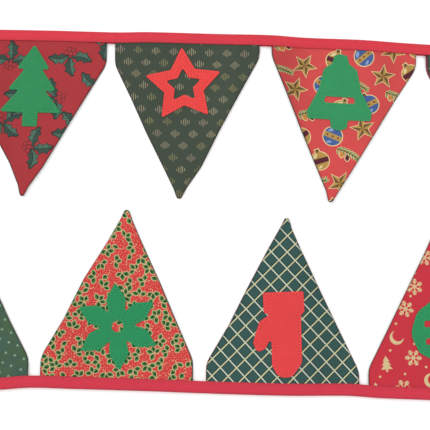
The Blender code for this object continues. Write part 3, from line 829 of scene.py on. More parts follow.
def walk(line, pitch):
    """Places every pitch along a closed line, each with the way the line runs there."""
    closed = np.vstack([line, line[:1]])
    steps = np.linalg.norm(np.diff(closed, axis=0), axis=1)
    lengths = np.concatenate([[0.0], np.cumsum(steps)])
    count = max(1, round(lengths[-1] / pitch))
    at = (np.arange(count) + 0.5) * lengths[-1] / count
    here, before, after = [
        np.stack([np.interp((at + shift) % lengths[-1], lengths, closed[:, axis])
                  for axis in (0, 1)], axis=1)
        for shift in (0, -0.4 * pitch, 0.4 * pitch)
    ]
    return zip(here, after - before)


def motif_stitch_places(loops, pennant):
    """Stitches of a motif: a row inside each of its edges, on the cloth's own surface."""
    loops = [facing(loop, 1 if i == 0 else -1) for i, loop in enumerate(loops)]
    places = []
    for loop in loops:
        line = moved_in(loop, MOTIF_STITCH_IN)
        off = clearance(loops, line)
        line = line[(off > 0.9 * MOTIF_STITCH_IN) & (off < 1.2 * MOTIF_STITCH_IN)]
        for (x, y), way in walk(line, STITCH_PITCH):
            z = float(rise(pennant, x, y)) + MOTIF_LEVEL + MOTIF_THICKNESS - GROOVE_DEPTH
            places.append(((x, y, z), way))
    return places


# Printed patterns. Each gives patches in plan, and the later ones lie over the earlier


def laid(layers, x, y, angle=0.0, scale=1.0):
    """Patches of a small design's (points, colour) layers, set down in plan."""
    return [Patch(placed(points, x, y, angle, scale), colour) for points, colour in layers]


def bar(x0, y0, x1, y1, width):
    """A straight printed stroke."""
    across = Vector((y0 - y1, x1 - x0)).normalized() * (width / 2)
    return [(x0 - across.x, y0 - across.y), (x1 - across.x, y1 - across.y),
            (x1 + across.x, y1 + across.y), (x0 + across.x, y0 + across.y)]


def spiny_leaf(length, width, bend, inset=0.0):
    """Lower side, rib and upper side of a holly leaf from its stalk at the origin along +x."""
    lower, rib, upper = [], [], []
    count = 18
    for i in range(count + 1):
        t = i / count
        scallop = 1 - 0.4 * abs(math.sin(3 * math.pi * t))
        half = width / 2 * math.sin(math.pi * t) ** 0.6 * scallop - inset
        half = max(0.0, half)
        x = inset + (length - 2.6 * inset) * t
        y = bend * math.sin(math.pi * t)
        lower.append((x, y - half))
        rib.append((x, y))
        upper.append((x, y + half))
    return lower, rib, upper


def leaf_outline(lower, rib, upper):
    """Closed outline of a leaf from its two sides."""
    return [rib[0], *lower[1:-1], rib[-1], *upper[-2:0:-1]]


def plain_leaf(length, width, inset=0.0):
    """A small pointed leaf from the origin along +x."""
    count = 5
    lower = []
    for i in range(1, count):
        t = i / count
        x = inset + (length - 2.4 * inset) * t
        lower.append((x, -(width / 2 * math.sin(math.pi * t) ** 0.8 - inset)))
    tip = (length - 1.4 * inset, 0.0)
    return [(inset, 0.0), *lower, tip, *[(x, -y) for x, y in lower[::-1]]]


HOLLY_INK = hexed("#26302f")
HOLLY_DARK = hexed("#3a5147")
HOLLY_LIGHT = hexed("#4f7361")
BERRY_INK = hexed("#5e1c26")
BERRY_FILL = hexed("#b13c40")
HOLLY_WIDTH = 14.6
HOLLY_EDGE = 0.8
HOLLY_RIB = 0.6
HOLLY_VEIN = 0.35
VEIN_REACH = 0.72
VEIN_STARTS = (4, 7, 10, 13)

# Sprigs as x, y and turn, leaves as turn, length and bend
HOLLY_SPRIGS = (
    (-157.5, 175.0, 0), (-171.6, 127.5, -78), (-196.0, 73.0, 84), (-127.0, 140.0, 150),
    (-116.0, 193.0, -20), (-152.0, 93.0, 205), (-222.0, 170.0, 172), (-228.0, 101.0, 40),
    (-206.0, 128.0, 250), (-262.0, 186.0, 60), (-258.0, 138.0, -60),
)
HOLLY_LEAVES = ((182, 23.5, 2.6), (-82, 22.5, -2.2), (-14, 23.5, 2.2))
BERRY_PLACES = ((-4.0, 4.2), (-0.9, 7.9), (3.5, 6.9), (4.3, 2.9), (0.2, 3.2))
BERRY_RINGS = ((2.8, BERRY_INK), (2.1, BERRY_FILL), (0.5, BERRY_INK))


def holly_sprig(sprig):
    """Three spiny leaves, one half of each lighter, and ringed berries on the far side."""
    patches = []
    for turn, length, bend in HOLLY_LEAVES:
        lower, rib, upper = spiny_leaf(length, HOLLY_WIDTH, bend, HOLLY_EDGE)
        layers = [(leaf_outline(*spiny_leaf(length, HOLLY_WIDTH, bend)), HOLLY_INK),
                  (leaf_outline(lower, rib, upper), HOLLY_DARK),
                  (rib + upper[-2:0:-1], HOLLY_LIGHT)]
        layers += [(bar(*a, *b, HOLLY_RIB), HOLLY_INK) for a, b in zip(rib[::6], rib[6::6])]
        for at in VEIN_STARTS:
            for side in (lower, upper):
                out = [r + VEIN_REACH * (s - r) for r, s in zip(rib[at + 2], side[at + 2])]
                layers.append((bar(*rib[at], *out, HOLLY_VEIN), HOLLY_INK))
        start = polar(0.9, turn)
        patches += laid([(placed(points, *start, turn), c) for points, c in layers], *sprig)
    for x, y in BERRY_PLACES:
        patches += laid([(placed(disc(r), x, y), c) for r, c in BERRY_RINGS], *sprig)
    return patches


def holly_print(pennant):
    """Scattered holly sprigs."""
    return [patch for sprig in HOLLY_SPRIGS for patch in holly_sprig(sprig)]


def repeat_places(pennant, start, first, second, margin):
    """Places of a repeat with two steps that lie on a pennant or within a margin of it."""
    counts = np.arange(-32, 33)
    i, k = [grid.reshape(-1, 1) for grid in np.meshgrid(counts, counts)]
    points = np.array(start) + i * np.array(first) + k * np.array(second)
    loop = facing(pennant_outline(pennant, 0, 0), 1)
    kept = inside(loop, points) | (clearance([loop], points) < margin)
    return points[kept].tolist()


# Slanted repeats: one place, the steps to two neighbours, and the margin past the edge
Repeat = namedtuple("Repeat", "start first second margin")
FAN_REPEAT = Repeat((-36.4, 166.6), (19.35, -0.8), (8.6, -13.5), 6)
DOT_REPEAT = Repeat((-215.8, -144.2), (9.3, -3.4), (-2.7, -10.2), 2)
PINE_REPEAT = Repeat((300.0, 100.0), (21.0, 1.4), (9.6, -12.5), 4)

# Scattered prints: the spacing, how far each place may stray, and the seed of the places
Scatter = namedtuple("Scatter", "spacing spread seed")
SCATTERS = {
    "sprig": Scatter(14.4, 0.9, 9),
    "gilt": Scatter(29.0, 2.5, 3),
    "festive": Scatter(31.5, 2.2, 11),
}
PRINT_SEEDS = {"fan": 21, "dot": 4, "sprig": 5, "gilt": 14, "festive": 8}


FAN_GOLDS = [hexed(code) for code in ("#b5a886", "#ada084", "#9a9264", "#a89684")]
FAN_STROKES = ((-4.1, 3.0), (-2.05, 6.0), (0.0, 8.8), (2.05, 6.0), (4.1, 3.0))
FAN_STROKE_WIDTH = 0.55
FAN_STRAY = 0.5
FAN_LEAN = 0.3


def fan_print(pennant):
    """Slanted repeat of small fans, each of five upright strokes."""
    draw = random.Random(PRINT_SEEDS["fan"])
    patches = []
    for x, y in repeat_places(pennant, *FAN_REPEAT):
        colour = draw.choice(FAN_GOLDS)
        for across, tall in FAN_STROKES:
            low = -0.45 * tall + draw.uniform(-FAN_STRAY, FAN_STRAY)
            high = 0.55 * tall + draw.uniform(-FAN_STRAY, FAN_STRAY)
            top = across + draw.uniform(-FAN_LEAN, FAN_LEAN)
            patches += laid([(bar(across, low, top, high, FAN_STROKE_WIDTH), colour)], x, y)
    return patches


LATTICE_GOLD = hexed("#c9c89c")
LATTICE_PALE = hexed("#c5d0bc")
LATTICE_SHADE = hexed("#27383a")
LATTICE_CROSSING = (75.8, -40.1)
LATTICE_PITCH = (16.75, 17.35)
LATTICE_TURN = -1.6
LATTICE_LINE = 1.4
LATTICE_EDGE = 3.1
LATTICE_COUNT = 18
LATTICE_ENDS = (-11, 5)


def lattice_print(pennant):
    """Diagonal lattice of gold lines with dark edges."""
    pitch_x, pitch_y = LATTICE_PITCH
    edges = []
    lines = []
    for way, colour in ((-1, LATTICE_PALE), (1, LATTICE_GOLD)):
        for k in range(-LATTICE_COUNT, LATTICE_COUNT + 1):
            (x0, y0), (x1, y1) = [((k + way * t) * pitch_x, t * pitch_y) for t in LATTICE_ENDS]
            edges.append((bar(x0, y0, x1, y1, LATTICE_EDGE), LATTICE_SHADE))
            lines.append((bar(x0, y0, x1, y1, LATTICE_LINE), colour))
    return laid(edges + lines, *LATTICE_CROSSING, LATTICE_TURN)


DOT_PALE = hexed("#8aa88c")
DOT_SOFT = hexed("#5d7b62")
DOT_STRAY = 0.6


def dot_print(pennant):
    """Slanted repeat of pale dots."""
    draw = random.Random(PRINT_SEEDS["dot"])
    rings = [(disc(1.7, 10), DOT_SOFT), (disc(1.0, 10), DOT_PALE)]
    patches = []
    for x, y in repeat_places(pennant, *DOT_REPEAT):
        off_x, off_y = [draw.uniform(-DOT_STRAY, DOT_STRAY) for _ in range(2)]
        patches += laid(rings, x + off_x, y + off_y)
    return patches


SPRIG_GOLD = hexed("#d2c08c")
SPRIG_LEAF = hexed("#467c41")
SPRIG_HEART = hexed("#263f20")
SPRIG_STALK = 2.8
SPRIG_STALK_WIDTH = 0.7
SPRIG_EDGE = 0.55
SPRIG_LEAF_COUNTS = (1, 2, 3, 3, 3, 3, 3, 4)
SPRIG_LEAF_STEP = 68
SPRIG_LENGTHS = (7.4, 8.8)
SPRIG_WIDTHS = (5.2, 6.2)


def scattered(pennant):
    """Places a spacing apart on a triangular lattice, each moved by a random amount."""
    spacing, spread, seed = SCATTERS[pennant.name]
    draw = random.Random(seed)
    start = (pennant.tip_x, pennant.tip_y - pennant.row * 8)
    steps = polar(spacing, 8), polar(spacing, 68)
    return [(x + draw.uniform(-spread, spread), y + draw.uniform(-spread, spread))
            for x, y in repeat_places(pennant, start, *steps, 0.6 * spacing)]


def sprig_print(pennant):
    """Scattered small sprigs of one to four gold-edged leaves fanned from a short stalk."""
    draw = random.Random(PRINT_SEEDS["sprig"])
    patches = []
    for x, y in scattered(pennant):
        turn = draw.uniform(0, 360)
        count = draw.choice(SPRIG_LEAF_COUNTS)
        stalk = bar(0, 0, -SPRIG_STALK, draw.uniform(-1, 1), SPRIG_STALK_WIDTH)
        patches += laid([(stalk, SPRIG_GOLD)], x, y, turn)
        for i in range(count):
            angle = turn + (i - (count - 1) / 2) * SPRIG_LEAF_STEP + draw.uniform(-8, 8)
            length, width = draw.uniform(*SPRIG_LENGTHS), draw.uniform(*SPRIG_WIDTHS)
            heart = [(a * 0.7 + 0.9, b * 0.5 - 0.5) for a, b in plain_leaf(length, width, 0.7)]
            leaf = [(plain_leaf(length, width), SPRIG_GOLD),
                    (plain_leaf(length, width, SPRIG_EDGE), SPRIG_LEAF),
                    (heart, SPRIG_HEART)]
            start = placed([(0.3, 0)], x, y, angle)[0]
            patches += laid(leaf, *start, angle)
        spot = placed([(-4.4, 0)], x, y, turn + 30)[0]
        patches += laid([(disc(0.65, 8), SPRIG_GOLD)], *spot)
    return patches


GILT_GOLD = hexed("#d9c090")
CRYSTAL_ARM_WIDTH = 1.3
CRYSTAL_BARB_WIDTH = 1.15
CRYSTAL_BARBS = ((0.45, 0.34), (0.72, 0.26))


def snow_crystal(x, y, radius, turn):
    """Six arms with two pairs of barbs each, round a small middle."""
    arm = [(bar(0, 0, radius, 0, CRYSTAL_ARM_WIDTH), GILT_GOLD)]
    for at, long in CRYSTAL_BARBS:
        for side in (1, -1):
            x1, y1 = radius * (at + long * 0.7), side * radius * long * 0.75
            arm.append((bar(radius * at, 0, x1, y1, CRYSTAL_BARB_WIDTH), GILT_GOLD))
    patches = laid([(disc(radius * 0.2, 6), GILT_GOLD)], x, y, turn)
    for i in range(6):
        patches += laid(arm, x, y, turn + 60 * i)
    return patches


def fir_tree(x, y, size, turn):
    """A little fir tree of three tiers on a trunk."""
    shapes = [[(-0.13, -1.0), (0.13, -1.0), (0.13, -0.6), (-0.13, -0.6)]]
    for top, foot, half in ((1.0, 0.3, 0.42), (0.6, -0.18, 0.58), (0.15, -0.68, 0.74)):
        shapes.append([(-half, foot), (half, foot), (0.0, top)])
    return laid([(points, GILT_GOLD) for points in shapes], x, y, turn, size)


def moon(x, y, radius, turn):
    """A crescent."""
    outer = [polar(1, 50 + 13 * i) for i in range(21)]
    inner = placed([polar(0.82, 296 - 14.5 * i) for i in range(1, 16)], 0.36, 0)
    return laid([(outer + inner, GILT_GOLD)], x, y, turn, radius)


GILT_DESIGNS = ((snow_crystal, 8.6), (fir_tree, 8.2), (moon, 7.2))


def gilt_print(pennant):
    """Scattered snow crystals, fir trees and crescents in flat gold, with dots between."""
    draw = random.Random(PRINT_SEEDS["gilt"])
    patches = []
    for i, (x, y) in enumerate(scattered(pennant)):
        design, size = GILT_DESIGNS[(i * 2 + i // 5) % 3]
        patches += design(x, y, size, draw.uniform(0, 60))
        spot = placed([(14.4, 0)], x, y, draw.uniform(60, 120))[0]
        patches += laid([(disc(1.3, 8), GILT_GOLD)], *spot)
    return patches


FESTIVE_CREAM = hexed("#e8cf98")
FESTIVE_GOLD = hexed("#b8924d")
FESTIVE_BROWN = hexed("#6d5030")
FESTIVE_BLUE = hexed("#46629a")
FESTIVE_SKY = hexed("#8ca6cc")
FESTIVE_GREEN = hexed("#5f9150")
FESTIVE_DARK = hexed("#5a2230")
FESTIVE_ORANGE = hexed("#cf8740")


def striped_ball(x, y, radius, turn, body, belt_colour, glint):
    """A tree ball with a belt, two glints and a small cap, edged in cream."""
    belt = [polar(1, angle) for angle in (-16, 0, 16, 164, 180, 196)]
    cap = [(-1, -0.3), (1, -0.3), (1, 1), (-1, 1)]
    layers = [
        (disc(1.1, 24), FESTIVE_CREAM),
        ([(0.3 * a, 1 + 0.42 * b) for a, b in cap], FESTIVE_CREAM),
        ([(0.2 * a, 1 + 0.32 * b) for a, b in cap], FESTIVE_BROWN),
        (disc(1.0, 24), body),
        (belt, belt_colour),
        (placed(plain_leaf(0.76, 0.35), -0.67, 0.37, 40), glint),
        (placed(plain_leaf(0.63, 0.26), -0.44, -0.8, 20), glint),
    ]
    layers += [(placed(disc(0.1, 8), at, 0), FESTIVE_DARK) for at in (-0.6, 0, 0.6)]
    return laid(layers, x, y, turn, radius)


def blue_ball(x, y, radius, turn):
    return striped_ball(x, y, radius, turn, FESTIVE_BLUE, FESTIVE_GOLD, FESTIVE_SKY)


def gold_ball(x, y, radius, turn):
    return striped_ball(x, y, radius, turn, FESTIVE_GOLD, FESTIVE_DARK, FESTIVE_CREAM)


def faceted_star(x, y, radius, turn):
    """A gold star of five points, each half in shade, with a cream edge."""
    facets = star(radius, radius * 0.42, 5)
    layers = [(star(radius + 1.5, radius * 0.42 + 0.9, 5), FESTIVE_CREAM),
              (facets, FESTIVE_GOLD)]
    layers += [([(0.0, 0.0), facets[i], facets[i + 1]], FESTIVE_BROWN) for i in range(0, 10, 2)]
    return laid(layers, x, y, turn)


def fir_twig(x, y, length, turn):
    """A bent green twig with needles to both sides and two cones, edged in cream."""
    under = []
    upper = []
    before = 0.0
    for i in range(11):
        t = i / 10
        a = (t - 0.5) * length
        b = 3.2 * math.sin(math.pi * t) - 1.6
        for side in (1, -1):
            tip = (a + 3.4, b + side * 4.6 * (1 - 0.45 * t))
            under.append((bar(a, b, *tip, 2.3), FESTIVE_CREAM))
            upper.append((bar(a, b, *tip, 1.3), FESTIVE_GREEN))
        if i:
            upper.append((bar(a - length / 10, before, a, b, 1.3), FESTIVE_BROWN))
        before = b
    for at, colour in ((-0.34, FESTIVE_ORANGE), (-0.12, FESTIVE_DARK)):
        cone = placed(plain_leaf(7.4, 4.6), at * length, -1.0, -62)
        under.append((placed(plain_leaf(9.0, 6.4), at * length - 0.4, -0.4, -62), FESTIVE_CREAM))
        upper.append((cone, colour))
    return laid(under + upper, x, y, turn)


FESTIVE_DESIGNS = ((blue_ball, 10.2), (fir_twig, 32.0), (faceted_star, 12.8),
                   (gold_ball, 9.6))


def festive_print(pennant):
    """Scattered tree balls, faceted stars and fir twigs."""
    draw = random.Random(PRINT_SEEDS["festive"])
    patches = []
    for i, (x, y) in enumerate(scattered(pennant)):
        design, size = FESTIVE_DESIGNS[(i + i // 4) % 4]
        patches += design(x, y, size, draw.uniform(-40, 40))
    return patches


PINE_STAR = hexed("#a9a57c")
PINE_TURN = -80


def pine_print(pennant):
    """Slanted repeat of small four-pointed stars."""
    layers = [(star(3.4, 0.9, 4), PINE_STAR)]
    return [patch for x, y in repeat_places(pennant, *PINE_REPEAT)
            for patch in laid(layers, x, y, PINE_TURN)]


# Cloths of each pennant: the front's ground, its print, and the plain back
Cloths = namedtuple("Cloths", "ground pattern mottle dots back tinge", defaults=(None,))
CLOTHS = {
    "holly": Cloths("#ac353a", holly_print, 0.07, None, "#33453a"),
    "fan": Cloths("#404a3e", fan_print, 0.08, None, "#4c242a"),
    "festive": Cloths("#d64d4c", festive_print, 0.08, None, "#33423a"),
    "pine": Cloths("#425449", pine_print, 0.08, None, "#7e3a46"),
    "gilt": Cloths("#ca3240", gilt_print, 0.04, None, "#4d6a52"),
    "lattice": Cloths("#335652", lattice_print, 0.08, None, "#8f3038"),
    "sprig": Cloths("#d23e3a", sprig_print, 0.04, ("#e8857b", 2.5, 0.48), "#2f4438"),
    "dot": Cloths("#496145", dot_print, 0.18, None, "#5a2a32", "#405d50"),
}
MOTIF_CLOTHS = {"green": "#2f955d", "red": "#eb4646"}
MOTIF_DYES = {"holly": "#2e8d56", "festive": "#32955e", "gilt": "#29935c",
              "sprig": "#258f5a", "fan": "#eb4543", "lattice": "#e54345"}
THREADS = {"green": "#379a60", "red": "#ec4c4b", "tape": "#cd3445"}

# Soft bands of painted shade down a cloth, or of painted light where the strength is below zero:
# plan x, strength and width
Band = namedtuple("Band", "pennant x strength width")
SHADE_BANDS = [
    Band("festive", 74, 0.26, 22),
    Band("festive", 184, 0.08, 16),
    Band("holly", -236, 0.10, 26),
    Band("fan", 8, -0.10, 26),
    Band("sprig", -140, 0.06, 24),
    Band("lattice", 112, 0.08, 24),
]
TAPE_COLOUR = "#dc3b49"
# The same tape along the lower row, painted darker as painted shade
TAPE_SHADED_LOWER_COLOUR = "#d6394c"
BRIGHTNESS = 0.92
# Painted shade along the front panel's edge, where its seam turns in: how dark, where it starts
# and over what width
RIM_SHADE = 0.4
RIM_SHADE_START = 0.3
RIM_SHADE_WIDTH = 1.0
RIM_CURL = 0.85


def ink(code):
    """Linear colour of a named cloth, scaled to the light that falls on it."""
    return tuple(BRIGHTNESS * c for c in hexed(code))


def rim_drop(away):
    """How far a turned edge curls towards its seam at a distance from the edge."""
    t = np.clip(away / RIM_RINGS[2], 0, 1)
    return RIM_CURL * (1 - np.sqrt(1 - (1 - t) ** 2))


def allowance(away, deep):
    """The low ridge over the allowance that is turned in along a pennant's two sides."""
    below_tape = smooth((deep - PANEL_HOLD) / PANEL_RAMP)
    step = 1 - smooth((away - ALLOWANCE_WIDTH + 1) / 2)
    return ALLOWANCE_HEIGHT * step * below_tape


def add_pennant(pennant):
    """The back and the front panel, seamed along their edges."""
    name = pennant.name
    cloths = CLOTHS[name]

    loop = pennant_outline(pennant, 0, 0)
    plan = cloth_plan([loop], RIM_RINGS)
    base = rise(pennant, *plan.points.T)
    material = cloth_material(f"{name}_back_cotton", ink(cloths.back))
    back = closed_sheet(f"{name}_cloth_back", plan, base + rim_drop(plan.away), base + CLOTH,
                        material)
    dress(back, f"{name}_back")

    loop = pennant_outline(pennant, SIDES[name].left_roll, SIDES[name].right_roll)
    patches = cloths.pattern(pennant)
    plan = cloth_plan([loop], RIM_RINGS, patches)
    x, y = plan.points.T
    base = rise(pennant, x, y) + FRONT_LEVEL
    top = base + CLOTH - rim_drop(plan.away) + allowance(plan.away, depth(pennant, x, y))
    ground = ink(cloths.ground)
    # Painted shade on the front: the soft bands down the cloth, and a dark line along its edge
    # where the seam turns in
    shade_and_fray = 1 - sum(b.strength * np.exp(-((x - b.x) / b.width) ** 2)
                   for b in SHADE_BANDS if b.pennant == name) * np.ones(len(x))
    shade_and_fray *= 1 - RIM_SHADE * (1 - smooth((plan.away - RIM_SHADE_START) / RIM_SHADE_WIDTH))
    dots = cloths.dots and (ink(cloths.dots[0]), *cloths.dots[1:])
    tinge = cloths.tinge and ink(cloths.tinge)
    material = cloth_material(f"{name}_front_cotton", ground, mottle=cloths.mottle,
                              printed=True, dots=dots, tinge=tinge)
    inked = [Patch(p.loop, tuple(BRIGHTNESS * c for c in p.colour)) for p in patches]
    front = closed_sheet(f"{name}_cloth_front", plan, base, top, material, ground, inked, shade_and_fray)
    dress(front, f"{name}_front")
    return front


def add_motif(applique, pennant):
    """The cut-out motif, soft at its edge and grooved along its row of stitches."""
    loops = motif_loops(applique, pennant)
    colour = ink(MOTIF_DYES.get(pennant.name, MOTIF_CLOTHS[applique.cloth]))
    # Dark discs between the stitches are painted shade in the needle holes
    hole_shade_colour = tuple(HOLE_SHADE * c for c in colour)
    places = motif_stitch_places(loops, pennant)
    holes = []
    for (x, y, _), way in places:
        dx, dy = np.array(way) / math.hypot(*way) * STITCH_PITCH / 2
        holes.append(Patch(placed(disc(HOLE_RADIUS, 6), x + dx, y + dy), hole_shade_colour))
    plan = cloth_plan(loops, MOTIF_RINGS, holes)
    base = rise(pennant, *plan.points.T) + MOTIF_LEVEL
    edge = MOTIF_EDGE_DROP * (1 - np.clip(plan.away / MOTIF_EDGE_WIDTH, 0, 1)) ** 2
    top = base + MOTIF_THICKNESS - edge - groove(plan.away, MOTIF_STITCH_IN)
    # A pale fray along the cut edge, outside the row of stitches
    beyond = (plan.away - MOTIF_STITCH_IN + MOTIF_RIM_WIDTH) / MOTIF_EDGE_WIDTH
    shade_and_fray = 1 + MOTIF_RIM * (1 - smooth(beyond))
    cloth = cloth_material(f"{pennant.name}_motif_cotton", colour, mottle=0.05, streak=0.16,
                           printed=True)
    motif = closed_sheet(f"{pennant.name}_cut_motif", plan, base, top, cloth, colour, holes,
                         shade_and_fray)
    dress(motif, f"{pennant.name}_motif")
    thread = thread_material(f"{pennant.name}_motif_thread", THREADS[applique.cloth])
    row = stitches(f"{pennant.name}_motif_stitches", places, thread)
    dress(row, None)


def dress(piece, cad_node):
    """Puts a finished piece on the body, in place of its CAD node if it has one."""
    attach(piece, "root")
    if cad_node:
        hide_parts(cad_node)


def away_from_pennants(length):
    """Distance along the edge from the nearest pennant."""
    return np.min([
        np.maximum(np.maximum(start - length, length - end), 0.0) for start, end in SPANS
    ], axis=0)


def tape_height(length):
    """Outer height of the folded tape, which settles slowly beyond the pennants it holds."""
    settled = smooth(away_from_pennants(length) / TAPE_SETTLE)
    return TAPE_OPEN + (TAPE_SHUT - TAPE_OPEN) * settled


def tape_ripple(length):
    """How far the tape's inner edge stands off the surface in the turn and the tails."""
    away = away_from_pennants(length)
    from_end = np.minimum(length, EDGE.total - length)
    free = smooth((away - RIPPLE_START) / RIPPLE_LENGTH)
    free = free * smooth((from_end - TAIL_FLAT) / TAIL_FLAT)
    return RIPPLE_HEIGHT * free * (1 - np.cos(2 * np.pi * away / RIPPLE_LENGTH)) / 2


TAPE_SKIN = 0.85
TAPE_TOP_SET = 0.15
TAPE_PUCKER_LIMIT = 0.14
TAPE_EDGE = ((-0.2, 0.78), (0.0, 0.45), (-0.25, 0.12))
TAPE_HIGH_EDGE = ((0.2, 0.0), (0.0, 0.33), (0.25, 0.66))
TAPE_BEND_STEPS = 7
TAPE_SEED = 2
TAPE_STITCH_START = 4.0
TAPE_STRAY = 0.12
TAPE_DEPTHS = (11.6, 11.0, TAPE_STITCH_IN, 9.7, 9.1, 8.2, 7.2, 6.0, 4.6, 3.2)
TAPE_BEND_START = 1.9
# Painted shade across the tape by depth from its fold, darkest on the rounded fold and at the
# inner edge, with faint lengthwise streaks between
TAPE_SHADES_AND_STREAKS = ((0.1, 1.1, 3.2, 4.6, 6.0, 7.2, 8.2, 9.1, 11.0, 11.6),
              (0.72, 0.9, 1.0, 0.97, 1.03, 1.0, 0.96, 1.0, 0.96, 0.88))
TAPE_WAVES = ((0.16, 17.3, 0.4), (0.12, 9.7, 2.1), (0.1, 31.0, 4.0))


def tape_unevenness(length, deep):
    """Shallow puckers across the top of the tape, none along the fold and at the edge."""
    wave = sum(size * math.sin(2 * math.pi * length / long + phase + 0.12 * deep)
               for size, long, phase in TAPE_WAVES)
    share = min(max((deep - 1) / (TAPE_WIDTH - 1), 0), 1)
    return min(wave * math.sin(math.pi * share), TAPE_PUCKER_LIMIT)


def tape_ring(height, length):
    """The folded tape's cross-section as (depth, height) pairs round both its skins."""
    inner = TAPE_SKIN + 0.1
    hollow_height = height - 2 * TAPE_SKIN - 0.2
    low_edge = [(TAPE_WIDTH + off, up) for off, up in TAPE_EDGE]
    outside = [(deep, 0.6 * float(groove(deep, TAPE_STITCH_IN))) for deep in TAPE_DEPTHS]
    inside_skin = [(deep, inner) for deep in TAPE_DEPTHS]
    bend = []
    hollow = []
    for i in range(TAPE_BEND_STEPS + 1):
        out = math.sin(math.pi * i / TAPE_BEND_STEPS)
        up = (1 - math.cos(math.pi * i / TAPE_BEND_STEPS)) / 2
        bend.append((TAPE_BEND_START - (TAPE_BEND_START - 0.1) * out, height * up))
        hollow.append((TAPE_BEND_START - (TAPE_BEND_START - 1.0) * out,
                       inner + hollow_height * up))
    top = []
    top_inside = []
    for deep in reversed(TAPE_DEPTHS):
        dip = float(groove(deep, TAPE_STITCH_IN))
        top.append((deep, height - TAPE_TOP_SET - dip + tape_unevenness(length, deep)))
        top_inside.append((deep, height - TAPE_TOP_SET - TAPE_SKIN + min(0.0, 0.1 - 0.4 * dip)))
    high_edge = [(TAPE_WIDTH - inset, height - 0.2 - drop) for inset, drop in TAPE_HIGH_EDGE]
    return (low_edge[2:] + outside + bend + top + high_edge
            + top_inside[::-1] + hollow[::-1] + inside_skin[::-1] + low_edge[:2])


def tape_stitch_places():
    """The tape's row of stitches, on the cloth's own surface."""
    draw = random.Random(TAPE_SEED)
    places = []
    for i in range(math.floor((EDGE.total - 2 * TAPE_STITCH_START) / STITCH_PITCH)):
        length = TAPE_STITCH_START + (i + 0.5) * STITCH_PITCH
        deep = TAPE_STITCH_IN + draw.uniform(-TAPE_STRAY, TAPE_STRAY)
        x, y = EDGE.at(length) + EDGE.inward(length) * deep
        lift = float(tape_ripple(length)) * deep / TAPE_WIDTH
        top = float(tape_height(length)) - TAPE_TOP_SET - GROOVE_DEPTH
        z = top + tape_unevenness(length, deep) + lift
        places.append(((x, y, z), EDGE.at(length + 1) - EDGE.at(length - 1)))
    return places


def add_tape():
    """The folded tape and its row of stitches, from the upper tail round to the lower."""
    count = math.ceil(EDGE.total / TAPE_STEP)
    lengths = EDGE.total * np.arange(count + 1) / count
    middles = EDGE.at(lengths)
    rings = np.array([tape_ring(*pair) for pair in zip(tape_height(lengths), lengths)])
    deep, z = rings[..., 0], rings[..., 1]
    around = deep.shape[1]
    plan = middles[:, None] + EDGE.inward(lengths)[:, None] * deep[..., None]
    level = np.maximum(z, 0.0) + tape_ripple(lengths)[:, None] * deep / TAPE_WIDTH
    points = np.dstack([plan, level]).reshape(-1, 3)
    last = count * around
    faces = [(a + i, a + k, a + k + around, a + i + around)
             for a in range(0, last, around) for i, k in enumerate([*range(1, around), 0])]
    faces += [tuple(reversed(range(around))), tuple(range(last, last + around))]
    upper, lower = np.array(ink(TAPE_COLOUR)), np.array(ink(TAPE_SHADED_LOWER_COLOUR))
    cloth = cloth_material("binding_cotton", tuple(upper), mottle=0.07, streak=0.12,
                           printed=True, bias=math.radians(45))
    tape = new_object("binding", points, faces, cloth)
    # Painted shade: the lower row's tape is darker than the upper, blended round the turn
    turned = smooth((middles[:, 1] + TURN_REACH) / (2 * TURN_REACH))[:, None]
    shades = upper * turned + lower * (1 - turned)
    # Painted shade and streaks across the tape, by depth
    colours = shades[:, None] * np.interp(deep, *TAPE_SHADES_AND_STREAKS)[..., None]
    colours = np.dstack([colours, np.ones(deep.shape)]).reshape(-1, 4)
    paint(tape, colours[[i for face in faces for i in face]])
    dress(tape, "tape")
    thread = thread_material("binding_thread", THREADS["tape"])
    row = stitches("binding_stitches", tape_stitch_places(), thread)
    dress(row, None)


CAMERA_DISTANCE = 1000.0
CAMERA_TILT = 10.0
FOCAL_LENGTH = 78.98
SENSOR = 36.0


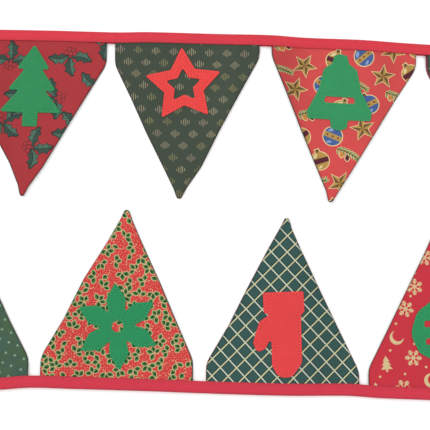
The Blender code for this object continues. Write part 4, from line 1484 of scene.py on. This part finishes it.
def add_camera():
    """The photograph's view: from 1 m above the middle of the picture, tilted 10 degrees."""
    tilt = math.radians(CAMERA_TILT)
    camera = bpy.data.cameras.new("camera")
    camera.sensor_width = SENSOR
    camera.lens = FOCAL_LENGTH
    camera.clip_start = 0.05
    camera.clip_end = 50.0
    thing = linked("camera", camera)
    thing.location = to_frame([
        (0.0, -CAMERA_DISTANCE * math.sin(tilt), CAMERA_DISTANCE * math.cos(tilt)),
    ])[0]
    thing.rotation_euler = (tilt, 0, 0)
    bpy.context.scene.camera = thing


FLOOR_GLOW = 0.14
FLOOR_HALF = 10.0
FLOOR_LEVEL = -0.0003


def add_floor():
    """A plain pale floor just under the cloth, a little lit from below."""
    corners = [(x * FLOOR_HALF, y * FLOOR_HALF, FLOOR_LEVEL)
               for x, y in ((-1, -1), (1, -1), (1, 1), (-1, 1))]
    mesh = bpy.data.meshes.new("floor")
    mesh.from_pydata(corners, [], [(0, 1, 2, 3)])
    material, _, shader = new_material("floor_paint", roughness=0.9)
    shader.inputs["Base Color"].default_value = (0.92, 0.92, 0.92, 1)
    shader.inputs["Emission Color"].default_value = (1, 1, 1, 1)
    shader.inputs["Emission Strength"].default_value = FLOOR_GLOW
    mesh.materials.append(material)
    linked("floor", mesh)


Lamp = namedtuple("Lamp", "name place size power")
LAMPS = [
    Lamp("key", (-1.4, 1.0, 1.7), 1.9, 22.0),
    Lamp("fill", (1.6, -0.6, 1.8), 2.0, 12.0),
    Lamp("top", (0.0, 0.2, 2.2), 2.6, 11.0),
]
SKY = 0.62


def add_light():
    """Soft studio light: a large key from the upper left, a fill, a top light and a pale sky."""
    for lamp in LAMPS:
        light = bpy.data.lights.new(lamp.name, "AREA")
        light.shape = "DISK"
        light.size = lamp.size
        light.energy = lamp.power
        thing = linked(lamp.name, light)
        thing.location = lamp.place
        thing.rotation_euler = (-Vector(lamp.place)).to_track_quat("-Z", "Y").to_euler()
    world = bpy.data.worlds.new("studio")
    world.use_nodes = True
    background = world.node_tree.nodes["Background"]
    background.inputs["Color"].default_value = (1, 1, 1, 1)
    background.inputs["Strength"].default_value = SKY
    bpy.context.scene.world = world
    bpy.context.scene.view_settings.view_transform = "Standard"


add_camera()
add_floor()
add_light()
by_name = {pennant.name: pennant for pennant in PENNANTS}
fronts = {pennant.name: add_pennant(pennant) for pennant in PENNANTS}
for applique in APPLIQUES:
    add_motif(applique, by_name[applique.pennant])
add_tape()
